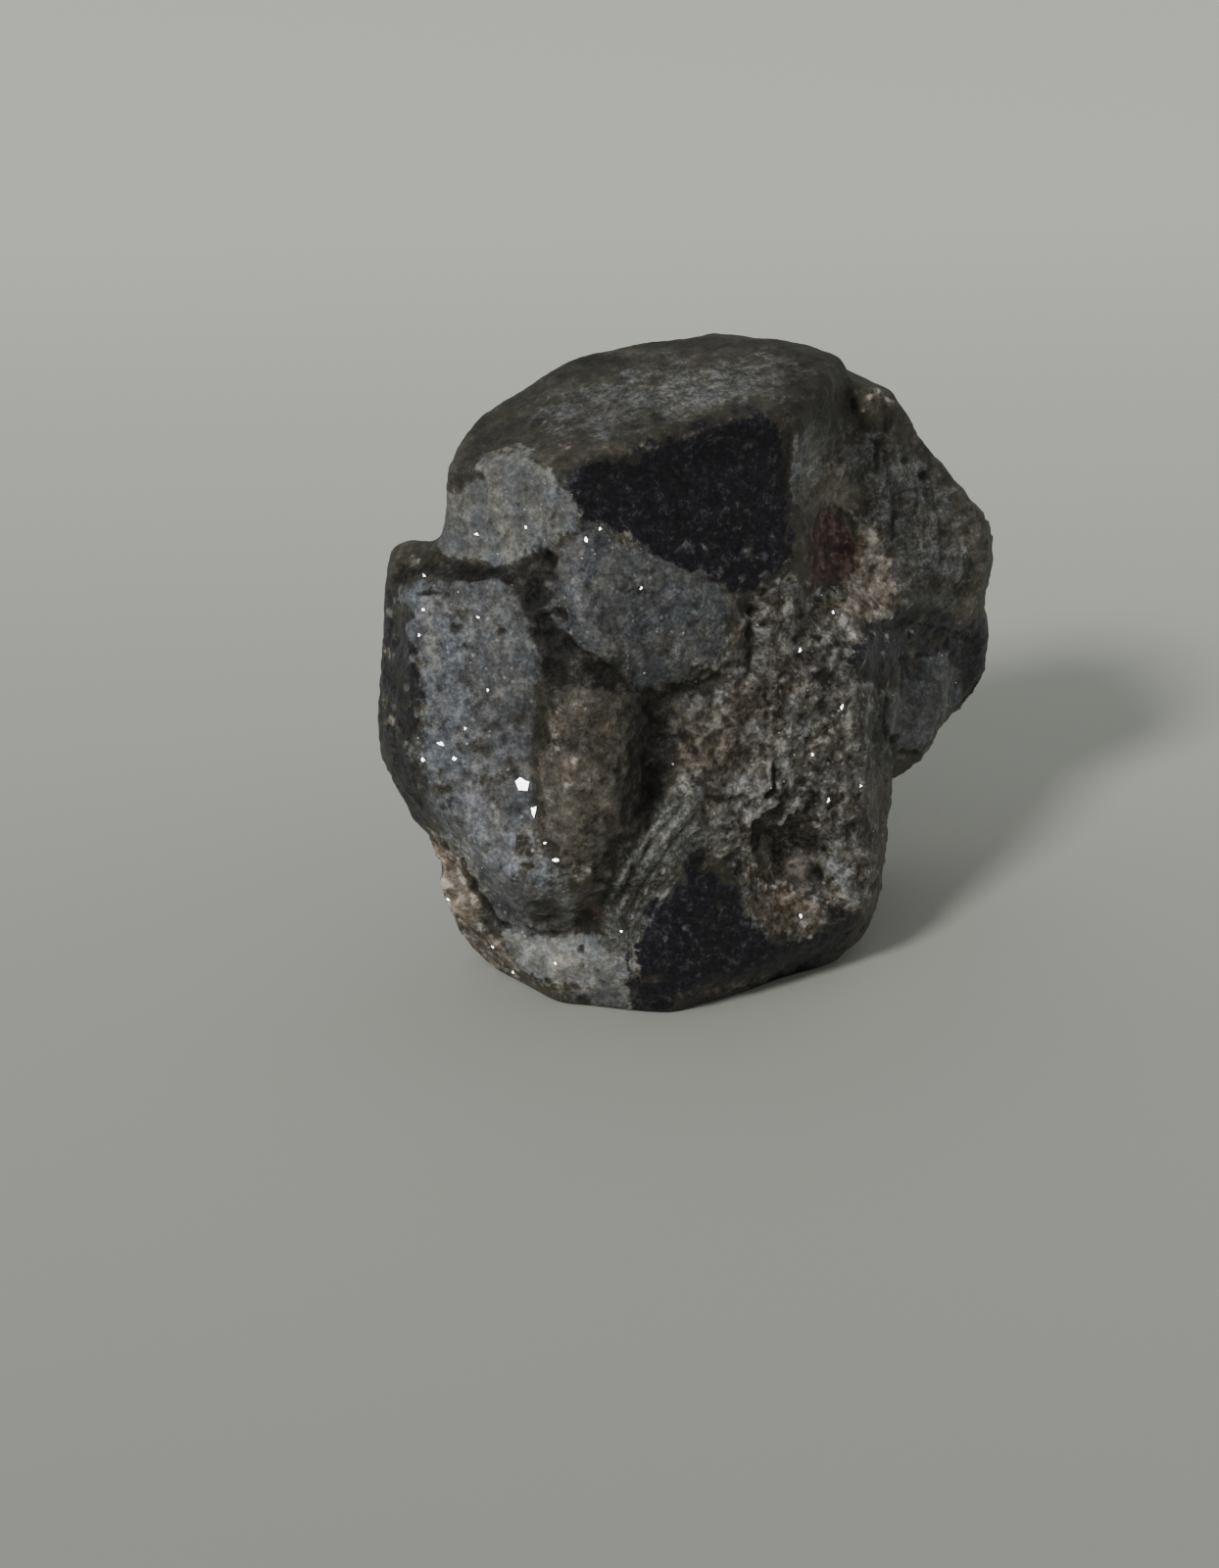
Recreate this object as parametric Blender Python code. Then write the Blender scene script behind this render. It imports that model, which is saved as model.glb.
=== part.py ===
"""A water-worn staurolite penetration twin, the stone that collectors call a fairy cross.

Two stubby crystals grew through each other at a right angle: an upright one along Z, and a cross one
along X. A stream has since rounded them, and grey mica schist still fills some of the corners between
their four ends. It is all one stone, so it is one solid, and it stands on the worn lower end of the
upright crystal.

The frame: X runs along the cross crystal, Y away from the side that shows the cross best, Z up. The
origin is under the middle of the stone, on the surface that it stands on. Every size in the tables is
in millimetres.
"""

import math

import bmesh
import bpy
import numpy as np
from mathutils import Vector, noise

MM = 0.001
NODE = "staurolite_twin"
MATERIAL = "stone"

# Driving dimensions: how far the crystals reach up, to the front and to the back
HEIGHT = 31.2
FRONT = 7.5
BACK = 6.8

# The rough block that each crystal end is cut from, and how far it reaches below the floor
BLOCK = 60.0
BELOW_FLOOR = 1.2

# The cells that the ends are fused on, how far the stream has rounded them before and after the
# relief, and the number of facets
CELL = 0.4
WEAR_STEPS = 9
LATE_WEAR_STEPS = 3
FACETS = 9700

# How much of a step of wear each vertex takes, and how far a face may turn from a side before that
# side's relief fades on it: fully, and not at all (the cosine of the angle between them)
WEAR_FACTOR = 0.5
TURNED_AWAY = 0.05
FACED = 0.45

# Where a ragged area starts to fade, and where it ends, as shares of its half sizes
RAGGED_FADE = (0.7, 1.1)

# A stand-in for the stone's colour, and its roughness
STONE_COLOR = (0.085, 0.078, 0.070, 1.0)
STONE_ROUGHNESS = 0.6

# The stone's unevenness: for each size of swell, its length and how high it stands
SWELLS = ((9.0, 0.30), (3.6, 0.16), (1.7, 0.07))
SWELL_START = Vector((11.3, 4.7, 23.9))

# Each end of a crystal is the space inside a set of flat faces: the outward direction of a face, and
# a point that it passes through.
HEAD = {
    "front": ((0, -1, 0), (0, -FRONT, 0)),
    "right_front": ((0.643, -0.766, 0), (2.0, -FRONT, 0)),
    "right": ((0.98, 0.1, 0.1), (9.8, -1.5, 27)),
    "right_back": ((0.6, 0.8, 0.05), (7, 5, 25)),
    "back": ((0, 1, 0.05), (0, BACK, 20)),
    "left_back": ((-0.7, 0.7, 0.1), (-10.7, 3.1, 27)),
    "left": ((-0.95, -0.3, 0), (-10.4, -7.3, 0)),
    "top": ((0.02, -0.02, 1), (0, 0, HEIGHT)),
    "top_left_slope": ((-0.13, 0.05, 1), (-4, 0, 30.85)),
    "top_left_worn": ((-0.28, 0.115, 0.953), (-8, 5, 29.5)),
    "top_left_back_worn": ((-0.3, 0.5, 0.81), (-5, 5, 30.1)),
    "top_back_worn": ((0, 0.6, 0.8), (0, 5.2, 31.0)),
    "top_right_slope": ((0.16, 0.05, 1), (5, 5, 31.1)),
    "top_right_worn": ((0.5, 0.3, 0.8), (10.3, 5, 29.0)),
    "inside": ((0, 0, -1), (0, 0, 12)),
}
FOOT = {
    "front": ((0, -1, -0.05), (0, -7.8, 8)),
    "front_worn": ((0.08, -0.8, -0.6), (0, -5.7, 0)),
    "right_front_worn": ((0.6, -0.4, -0.7), (7.8, -3.5, 0.3)),
    "right": ((0.97, -0.1, -0.2), (10.8, -2, 5)),
    "right_front": ((0.7, -0.7, 0), (7.75, -6.15, 8)),
    "right_worn": ((0.8, 0, -0.6), (9.0, -3, 0.9)),
    "left": ((-0.95, -0.05, -0.3), (-13.0, 2, 6.4)),
    "left_low": ((-0.8, -0.05, -0.6), (-10.5, 2, 2.7)),
    "left_shoulder": ((-0.85, 0, 0.52), (-13.8, 0, 8.0)),
    "left_back": ((-0.7, 0.7, 0), (-12.8, 2.4, 6)),
    "left_front": ((-0.82, -0.576, -0.15), (-6.2, -7.5, 8)),
    "left_front_worn": ((-0.65, -0.65, -0.4), (-6.1, -4.1, 0)),
    "back": ((0, 1, -0.05), (0, BACK, 5)),
    "back_worn": ((0, 0.8, -0.6), (0, 5, 0)),
    "base": ((0, 0, -1), (0, 0, -BELOW_FLOOR)),
    "inside": ((0, 0, 1), (0, 0, 18)),
}
LEFT_ARM = {
    "top": ((-0.03, 0.1, 1), (-13, -3, 24.3)),
    "top_left_worn": ((-0.7, 0.1, 0.7), (-14.1, 2, 23.1)),
    "end_front": ((-0.876, -0.482, 0.05), (-12.4, -6.3, 16)),
    "end": ((-0.97, 0.24, 0.1), (-15.8, 0, 15)),
    "front": ((-0.2, -0.97, -0.05), (-9.6, -8.4, 14)),
    "roof": ((0.83, 0.1, 0.51), (-11.6, -6, 24.6)),
    "inner": ((0.8, -0.5, 0), (-7.2, -8, 12)),
    "under": ((-0.9, 0, -0.43), (-14.35, 2, 11.7)),
    "under_low": ((-0.5, 0.1, -0.8), (-12.6, -3, 7.2)),
    "under_front": ((-0.1, -0.6, -0.8), (-10, -7, 8.4)),
    "back": ((-0.1, 1, 0), (-10, 5.5, 16)),
    "inside": ((1, 0, 0), (2, 0, 0)),
}
RIGHT_ARM = {
    "front": ((0.15, -0.98, 0.1), (10, -3, 20)),
    "top": ((0.2, 0, 1), (11, 2, 28.7)),
    "top_worn": ((0.79, 0, 0.62), (13.0, 2, 27.2)),
    "end": ((1, 0.05, 0.2), (21.0, 2, 13.0)),
    "end_front": ((0.7, -0.7, 0), (18.0, -1.2, 16)),
    "under_front": ((0.25, -0.9, -0.33), (8.7, -3.4, 17.2)),
    "under": ((0.6, 0, -0.8), (17.9, 1, 7.3)),
    "back": ((0.05, 1, 0), (10, 6, 16)),
    "inside": ((-1, 0, 0), (5, 0, 0)),
}
CRYSTAL_ENDS = {"head": HEAD, "foot": FOOT, "left_arm": LEFT_ARM, "right_arm": RIGHT_ARM}

# Schist that fills the corners between the ends: the middle of each mass and its half sizes
SCHIST = {
    "core": ((2, -1, 14), (10, 6.8, 9)),
    "corner_upper_left": ((-8, 0, 24), (4.2, 4.5, 3.6)),
    "corner_upper_right": ((9, 1, 24), (4, 4, 4)),
    "corner_lower_right": ((12.9, 2.7, 10.6), (4.8, 4.5, 4.6)),
    "back_fill": ((-2, 3, 16), (9, 5.2, 8)),
}

# The sides that relief is laid out on: the outward direction, and the directions that count as
# across and as up in its layout. The show side looks to the left, front and top at once.
SIDES = {
    "show": ((-0.491, -0.786, 0.375), (0.848, -0.530, 0.0), (0.199, 0.318, 0.927)),
    "left": ((-1, 0, 0), (0, -1, 0), (0, 0, 1)),
    "right": ((1, 0, 0), (0, 1, 0), (0, 0, 1)),
    "back": ((0, 1, 0), (-1, 0, 0), (0, 0, 1)),
    "top": ((0, 0, 1), (1, 0, 0), (0, 1, 0)),
}

# Flat-topped patches, hollows below zero: side, middle, half sizes, tilt in degrees, height, rim
PATCHES = {
    "grey_lens": ("show", (-1.5, 17.0), (4.6, 2.7), -33, 0.7, 0.4),
    "schist_upper_left": ("show", (-8.0, 21.9), (3.4, 2.4), -12, 0.4, 0.4),
    "bare_face": ("show", (0.4, 22.3), (5.2, 2.9), 10, -0.35, 0.4),
    "left_block_face": ("show", (-9.6, 14.9), (2.8, 4.4), 0, 0.25, 0.6),
    "schist_right": ("show", (12.4, 12.4), (2.1, 1.8), 40, 0.3, 0.4),
    "back_scar": ("back", (-2.0, 22.0), (6.0, 4.5), -20, -0.5, 0.8),
    "back_patch": ("back", (7.5, 13.0), (4.5, 3.6), 25, 0.5, 0.7),
    "back_patch_low": ("back", (-5.0, 6.0), (4.6, 2.6), -10, 0.4, 0.7),
}

# Round swellings, pits below zero: side, middle, half sizes, tilt in degrees, height
BUMPS = {
    "brown_knob": ("show", (-4.2, 8.9), (3.2, 6.4), 3, 1.3),
    "pit": ("show", (5.4, 4.8), (3.0, 3.6), 0, -2.6),
    "pit_deep_left": ("show", (4.5, 5.8), (1.4, 2.1), 0, -0.9),
    "pit_right_rim": ("show", (8.7, 4.6), (1.5, 3.2), 0, 0.5),
    "dark_face_swell": ("show", (0.5, 2.0), (2.6, 3.4), 0, 0.5),
    "hollow_under_ridge": ("show", (9.4, 13.9), (2.4, 1.2), 0, -1.1),
    "tan_swell": ("show", (10.5, 18.6), (2.8, 2.8), 20, 0.6),
    "garnet_socket": ("show", (7.7, 21.2), (1.5, 2.1), 0, -0.5),
    "dent_high": ("show", (-10.5, 16.9), (1.1, 1.1), 0, -0.35),
    "dent_low": ("show", (-5.7, 2.8), (1.8, 1.5), 0, -0.4),
    "crag": ("show", (10.3, 28.3), (1.7, 1.4), 0, 0.6),
    "notch": ("show", (12.2, 25.7), (1.1, 1.1), 0, -0.6),
    "left_foot_swell": ("left", (-0.5, 4.4), (4.0, 2.4), 0, 0.5),
    "top_crown": ("top", (2.0, 1.0), (10.0, 7.0), 0, 0.25),
    "back_pit_high": ("back", (4.6, 25.0), (2.2, 1.7), 0, -0.9),
    "back_pit_low": ("back", (-10.0, 13.0), (2.4, 2.0), -30, -1.0),
    "back_knob": ("back", (-9.2, 21.0), (3.2, 3.0), 0, 0.8),
    "right_end_dent": ("right", (1.0, 15.0), (2.2, 2.8), 0, -0.5),
}

# Grooves, ridges above zero: side, width, height, the points that it passes through
GROOVES = {
    "beside_knob": (
        "show", 0.9, -1.3,
        ((1.3, 13.5), (-0.2, 12.6), (-1.2, 10.7), (-1.5, 8.8), (-1.4, 6.8), (-2.1, 5.4), (-3.5, 4.1)),
    ),
    "under_lens": ("show", 0.7, -0.9, ((-6.2, 18.2), (-5.5, 16.3), (-4.4, 14.4), (-2.5, 13.4), (-1.2, 12.8))),
    "left_of_knob": ("show", 0.9, -0.5, ((-6.2, 13.4), (-7.3, 10.4), (-6.8, 7.0), (-5.6, 4.4))),
    "strap": ("show", 0.9, 0.6, ((-4.9, 0.3), (-3.0, 3.2), (-1.6, 4.9), (0.4, 7.8), (1.8, 9.2))),
    "strap_edge": ("show", 0.7, -0.5, ((-2.5, 0.8), (-1.6, 3.3), (-0.1, 4.8), (1.8, 5.5), (3.5, 4.5))),
    "crease": ("show", 0.5, -0.6, ((3.6, 17.3), (3.4, 15.1))),
    "ledge": (
        "show", 0.8, -0.9,
        ((-12.6, 5.9), (-10.7, 4.4), (-9.6, 2.7), (-8.3, 1.7), (-6.4, 1.3), (-4.4, 1.7)),
    ),
    "crevice": ("show", 0.7, -0.5, ((10.0, 28.9), (10.6, 27.0), (11.7, 26.2))),
    "head_seam": ("show", 0.8, -1.0, ((8.2, 29.4), (8.6, 27.4), (9.2, 25.2), (9.3, 22.8))),
    "ridge_right": ("show", 1.1, 0.5, ((7.8, 15.9), (9.5, 16.7), (11.8, 17.9), (15.2, 18.6))),
    "ragged_ridge": ("show", 0.7, 0.5, ((3.5, 6.3), (4.0, 7.8), (5.2, 8.7), (7.6, 8.8), (9.2, 7.3))),
    "band": ("show", 0.8, -0.6, ((8.3, 14.2), (10.3, 13.4), (11.7, 14.2), (13.4, 15.3), (15.3, 15.9))),
    "end_edge": ("show", 0.9, 0.35, ((-12.5, 18.2), (-12.7, 13.5), (-12.2, 9.2), (-11.4, 6.8))),
    "back_seam": ("back", 1.2, -0.9, ((9.0, 27.0), (6.0, 22.0), (2.0, 18.0), (-2.0, 12.0), (-4.0, 8.0))),
    "back_seam_cross": ("back", 1.1, -0.7, ((-14.0, 22.0), (-8.0, 17.0), (-1.0, 15.0), (6.0, 17.0))),
    "back_ridge": ("back", 1.3, 0.5, ((12.0, 20.0), (7.0, 19.5), (3.0, 22.5))),
}

# Ragged schist: side, middle, half sizes, tilt in degrees, height, length of the lumps
RAGGED = {
    "below_the_cross": ("show", (4.5, 11.4), (6.0, 6.6), 0, 0.45, 2.2),
    "right_corner": ("show", (9.6, 18.0), (4.6, 4.6), 0, 0.3, 2.0),
    "foot_left": ("show", (-7.0, 1.5), (5.0, 3.0), -40, 0.3, 2.0),
    "back_middle": ("back", (1.0, 15.0), (9.0, 7.0), 20, 0.4, 2.4),
}


def clear_scene():
    for obj in list(bpy.data.objects):
        bpy.data.objects.remove(obj)


def link(name, mesh):
    obj = bpy.data.objects.new(name, mesh)
    bpy.context.scene.collection.objects.link(obj)
    return obj


def object_from(solid, name):
    mesh = bpy.data.meshes.new(name)
    solid.to_mesh(mesh)
    solid.free()
    return link(name, mesh)


def cut_and_close(solid, through, outward):
    """Cut the solid with a plane, throw away the outer side, and close the cut with a flat face."""
    cut = bmesh.ops.bisect_plane(
        solid,
        geom=solid.verts[:] + solid.edges[:] + solid.faces[:],
        plane_co=through,
        plane_no=outward,
        clear_outer=True,
    )
    rim = [item for item in cut["geom_cut"] if isinstance(item, bmesh.types.BMEdge)]
    bmesh.ops.edgeloop_fill(solid, edges=rim)


def faceted_end(name, faces):
    """The convex solid inside the faces: a block of stone with one cut for each face."""
    solid = bmesh.new()
    bmesh.ops.create_cube(solid, size=2 * BLOCK * MM)
    for outward, through in faces.values():
        cut_and_close(solid, Vector(through) * MM, Vector(outward))
    bmesh.ops.recalc_face_normals(solid, faces=solid.faces)
    return object_from(solid, name)


def rounded_mass(name, middle, half_sizes):
    solid = bmesh.new()
    bmesh.ops.create_icosphere(solid, subdivisions=3, radius=1)
    bmesh.ops.scale(solid, vec=Vector(half_sizes) * MM, verts=solid.verts)
    bmesh.ops.translate(solid, vec=Vector(middle) * MM, verts=solid.verts)
    return object_from(solid, name)


def evaluated_mesh(obj):
    bpy.context.view_layer.update()
    evaluated = obj.evaluated_get(bpy.context.evaluated_depsgraph_get())
    return bpy.data.meshes.new_from_object(evaluated)


def fuse_and_wear(obj, wear_steps):
    """Grow one skin over the object, on cells of one size, and round its edges."""
    fuse = obj.modifiers.new("fuse", "REMESH")
    fuse.mode = "VOXEL"
    fuse.voxel_size = CELL * MM
    wear = obj.modifiers.new("wear", "SMOOTH")
    wear.factor = WEAR_FACTOR
    wear.iterations = wear_steps


def fused(parts):
    """One mesh joined from all the parts, with its edges worn round."""
    stone = parts[0]
    for other in parts[1:]:
        join = stone.modifiers.new("join_" + other.name, "BOOLEAN")
        join.operation = "UNION"
        join.object = other
        other.hide_render = True
        other.display_type = "WIRE"
    fuse_and_wear(stone, WEAR_STEPS)
    mesh = evaluated_mesh(stone)
    for obj in parts:
        bpy.data.objects.remove(obj)
    return mesh


def points_and_normals(mesh):
    """Where the vertices are, in millimetres, and which way each of them faces."""
    count = len(mesh.vertices)
    points = np.empty(3 * count)
    mesh.vertices.foreach_get("co", points)
    normals = np.empty(3 * count, dtype=np.float32)
    mesh.vertex_normals.foreach_get("vector", normals)
    return points.reshape(count, 3) / MM, normals.reshape(count, 3).astype(float)


def smooth_step(low, high, value):
    ratio = np.clip((value - low) / (high - low), 0.0, 1.0)
    return ratio * ratio * (3.0 - 2.0 * ratio)


def facing(normals, side):
    """One on the faces that look to this side of the stone, and zero on those that look away."""
    return smooth_step(TURNED_AWAY, FACED, normals @ np.array(SIDES[side][0], dtype=float))


def layout(points, side):
    """Each point's place across and up on this side."""
    return points @ np.array(SIDES[side][1:], dtype=float).T


def ellipse_distance(points, side, middle, half_sizes, tilt):
    """The distance from the middle of an ellipse on this side, where one is the ellipse itself."""
    turn = math.radians(tilt)
    away = layout(points, side) - np.array(middle)
    along = (away[:, 0] * math.cos(turn) + away[:, 1] * math.sin(turn)) / half_sizes[0]
    aside = (away[:, 1] * math.cos(turn) - away[:, 0] * math.sin(turn)) / half_sizes[1]
    return np.hypot(along, aside)


def path_distance(points, side, path):
    """The distance, in millimetres, from a line of straight pieces on this side."""
    spots = layout(points, side)
    nearest = np.full(len(points), np.inf)
    for start, end in zip(path, path[1:]):
        start = np.array(start)
        piece = np.array(end) - start
        share = np.clip((spots - start) @ piece / (piece @ piece), 0.0, 1.0)
        away = np.linalg.norm(spots - start - share[:, None] * piece, axis=1)
        nearest = np.minimum(nearest, away)
    return nearest


def unevenness(points, length):
    return np.array([noise.noise(Vector(point) / length + SWELL_START) for point in points])


def relief(points, normals):
    """How far the relief moves each point: along its side's direction, or along the point's own."""
    moved = np.zeros_like(points)

    def raise_side(side, height):
        outward = np.array(SIDES[side][0], dtype=float)
        return (height * facing(normals, side))[:, None] * outward

    for side, middle, half_sizes, tilt, rise, rim in PATCHES.values():
        distance = ellipse_distance(points, side, middle, half_sizes, tilt)
        width = rim / min(half_sizes)
        share = 1.0 - smooth_step(1.0 - width, 1.0 + width, distance)
        moved += raise_side(side, rise * share)
    for side, middle, half_sizes, tilt, rise in BUMPS.values():
        distance = ellipse_distance(points, side, middle, half_sizes, tilt)
        share = 1.0 - smooth_step(0.0, 1.0, distance)
        moved += raise_side(side, rise * share)
    for side, width, rise, path in GROOVES.values():
        share = np.exp(-((path_distance(points, side, path) / width) ** 2))
        moved += raise_side(side, rise * share)
    for side, middle, half_sizes, tilt, rise, length in RAGGED.values():
        distance = ellipse_distance(points, side, middle, half_sizes, tilt)
        share = 1.0 - smooth_step(*RAGGED_FADE, distance)
        moved += raise_side(side, rise * share * unevenness(points, length))
    for length, rise in SWELLS:
        moved += rise * unevenness(points, length)[:, None] * normals
    return moved


def sculpted(mesh):
    """The mesh with its relief, fused again on the same cells and worn a little more."""
    points, normals = points_and_normals(mesh)
    points += relief(points, normals)
    mesh.vertices.foreach_set("co", (points * MM).ravel())
    mesh.update()
    draft = link("relief", mesh)
    fuse_and_wear(draft, LATE_WEAR_STEPS)
    result = evaluated_mesh(draft)
    bpy.data.objects.remove(draft)
    return result


def faceted(mesh):
    """The same shape with fewer and larger facets."""
    draft = link("draft", mesh)
    triangles = sum(len(face.vertices) - 2 for face in mesh.polygons)
    fewer = draft.modifiers.new("fewer", "DECIMATE")
    fewer.ratio = FACETS / triangles
    fewer.use_collapse_triangulate = True
    result = evaluated_mesh(draft)
    bpy.data.objects.remove(draft)
    return result


def stood_on_the_floor(mesh):
    """Cut flat where the stone stands, with the origin under the middle of its box."""
    solid = bmesh.new()
    solid.from_mesh(mesh)
    cut_and_close(solid, Vector((0, 0, 0)), Vector((0, 0, -1)))
    bmesh.ops.triangulate(solid, faces=solid.faces)
    low = [min(vert.co[axis] for vert in solid.verts) for axis in (0, 1)]
    high = [max(vert.co[axis] for vert in solid.verts) for axis in (0, 1)]
    middle = Vector(((low[0] + high[0]) / 2, (low[1] + high[1]) / 2, 0))
    bmesh.ops.translate(solid, vec=-middle, verts=solid.verts)
    bmesh.ops.recalc_face_normals(solid, faces=solid.faces)
    return object_from(solid, NODE)


def stone_material():
    material = bpy.data.materials.new(MATERIAL)
    material.use_nodes = True
    shader = material.node_tree.nodes["Principled BSDF"]
    shader.inputs["Base Color"].default_value = STONE_COLOR
    shader.inputs["Roughness"].default_value = STONE_ROUGHNESS
    return material


def main():
    clear_scene()
    parts = [faceted_end(name, faces) for name, faces in CRYSTAL_ENDS.items()]
    parts += [rounded_mass(name, middle, half) for name, (middle, half) in SCHIST.items()]
    stone = stood_on_the_floor(faceted(sculpted(fused(parts))))
    stone.data.materials.append(stone_material())


main()
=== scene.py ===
"""The looks of the fairy cross staurolite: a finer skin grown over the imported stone, and mica flakes.

The stone's solid comes from the frame and gives every place and size. Over it grows a finer skin with
the small lumps, steps and scratches, and each kind of rock on it gets its own colours, gloss and
grain. Lengths are in millimetres in the frame's own directions. Places on the side that the
photograph shows are pixels of that photograph, and each lands on the stone where the photograph's
camera sees it.
"""

import math
import random

import bmesh
import bpy
import numpy as np
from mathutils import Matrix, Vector, noise
from mathutils.bvhtree import BVHTree

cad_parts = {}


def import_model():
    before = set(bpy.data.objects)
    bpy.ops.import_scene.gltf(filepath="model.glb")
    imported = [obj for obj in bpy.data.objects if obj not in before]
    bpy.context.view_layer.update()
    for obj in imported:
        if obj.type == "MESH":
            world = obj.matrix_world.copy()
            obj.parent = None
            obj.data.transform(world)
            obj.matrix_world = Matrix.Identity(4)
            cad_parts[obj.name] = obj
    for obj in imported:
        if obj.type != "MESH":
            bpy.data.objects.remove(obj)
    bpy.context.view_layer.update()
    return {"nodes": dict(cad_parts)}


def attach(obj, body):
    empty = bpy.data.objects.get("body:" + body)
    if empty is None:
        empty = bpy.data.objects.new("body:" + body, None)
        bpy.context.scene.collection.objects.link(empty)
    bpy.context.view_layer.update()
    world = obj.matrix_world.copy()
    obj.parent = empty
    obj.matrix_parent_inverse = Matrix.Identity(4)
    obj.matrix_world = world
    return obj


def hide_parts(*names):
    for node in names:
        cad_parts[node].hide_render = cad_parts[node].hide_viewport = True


MM = 0.001
NODE = "staurolite_twin"

# Where the random draws and the winding of the wisps start, so that every run gives the same result
SEED = 31

# The photograph: its middle in pixels, what one pixel spans at the stone, where the camera stands
# seen from the stone, how far away it is, and the point that shows in the middle of the picture
PICTURE_MIDDLE = (622.0, 800.0)
PIXEL = 0.05
AZIMUTH = -32.0
ELEVATION = 22.0
DISTANCE = 260.0
AIM = Vector((-3.902, 5.140, 8.113))
SENSOR = 24.0

# The skin: how close corners are welded before it grows, the cells it grows on, how often it is
# smoothed over, how far each time, its triangles, and how far above the floor its relief is whole
WELD = 0.001
CELL = 0.12
SMOOTHINGS = 34
SMOOTHING_FACTOR = 0.5
SKIN_TRIANGLES = 198000
FLOOR_FADE = 0.5

# The rock's grain is drawn out towards where the photograph was taken from, as the sides that turn
# away from there show it as coarse as the front: the patterns are this share as dense that way
GRAIN = Vector((-0.491, -0.786, 0.375))
GRAIN_DENSITY = 0.6

# How much a place faces the photograph's camera, as a cosine, where that side's marks start and where
# they are whole
SEEN_FACING = (-0.06, 0.14)

# The three kinds of noise that make borders uneven: length in millimetres, octaves and start
RAGGED = (0.9, 4, 3.0)
WANDERING = (2.4, 3, 9.0)
JAGGED = (0.45, 3, 21.0)

# How much ragged, wandering and jagged noise shifts a border. A zone's shift is in its own raggedness.
# For the other marks it is in their own size, and after it come the distances from the middle, in
# that size, at which they start to fade and are gone
ZONE_EDGE = (1.6, 1.0, 0.5)
EDGES = {
    "side": ((0.25, 0.45, 0.0), (0.85, 1.15)),
    "spot": ((0.3, 0.0, 0.5), (0.3, 1.3)),
    "stroke": ((0.0, 0.0, 0.7), (0.3, 1.5)),
    "tone": ((0.3, 0.0, 0.0), (0.4, 1.5)),
}

# How far around its middle a spot is worked out, in its own size, and around its path a stroke
SPOT_REACH = 2
STROKE_REACH = 3

# Which kinds of surface the stone has besides its worn crystal skin
LAYERS = (
    "scuffed", "bare", "schist", "frost", "pale", "granular", "brown", "tan", "rust", "seam", "garnet",
)

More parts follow.
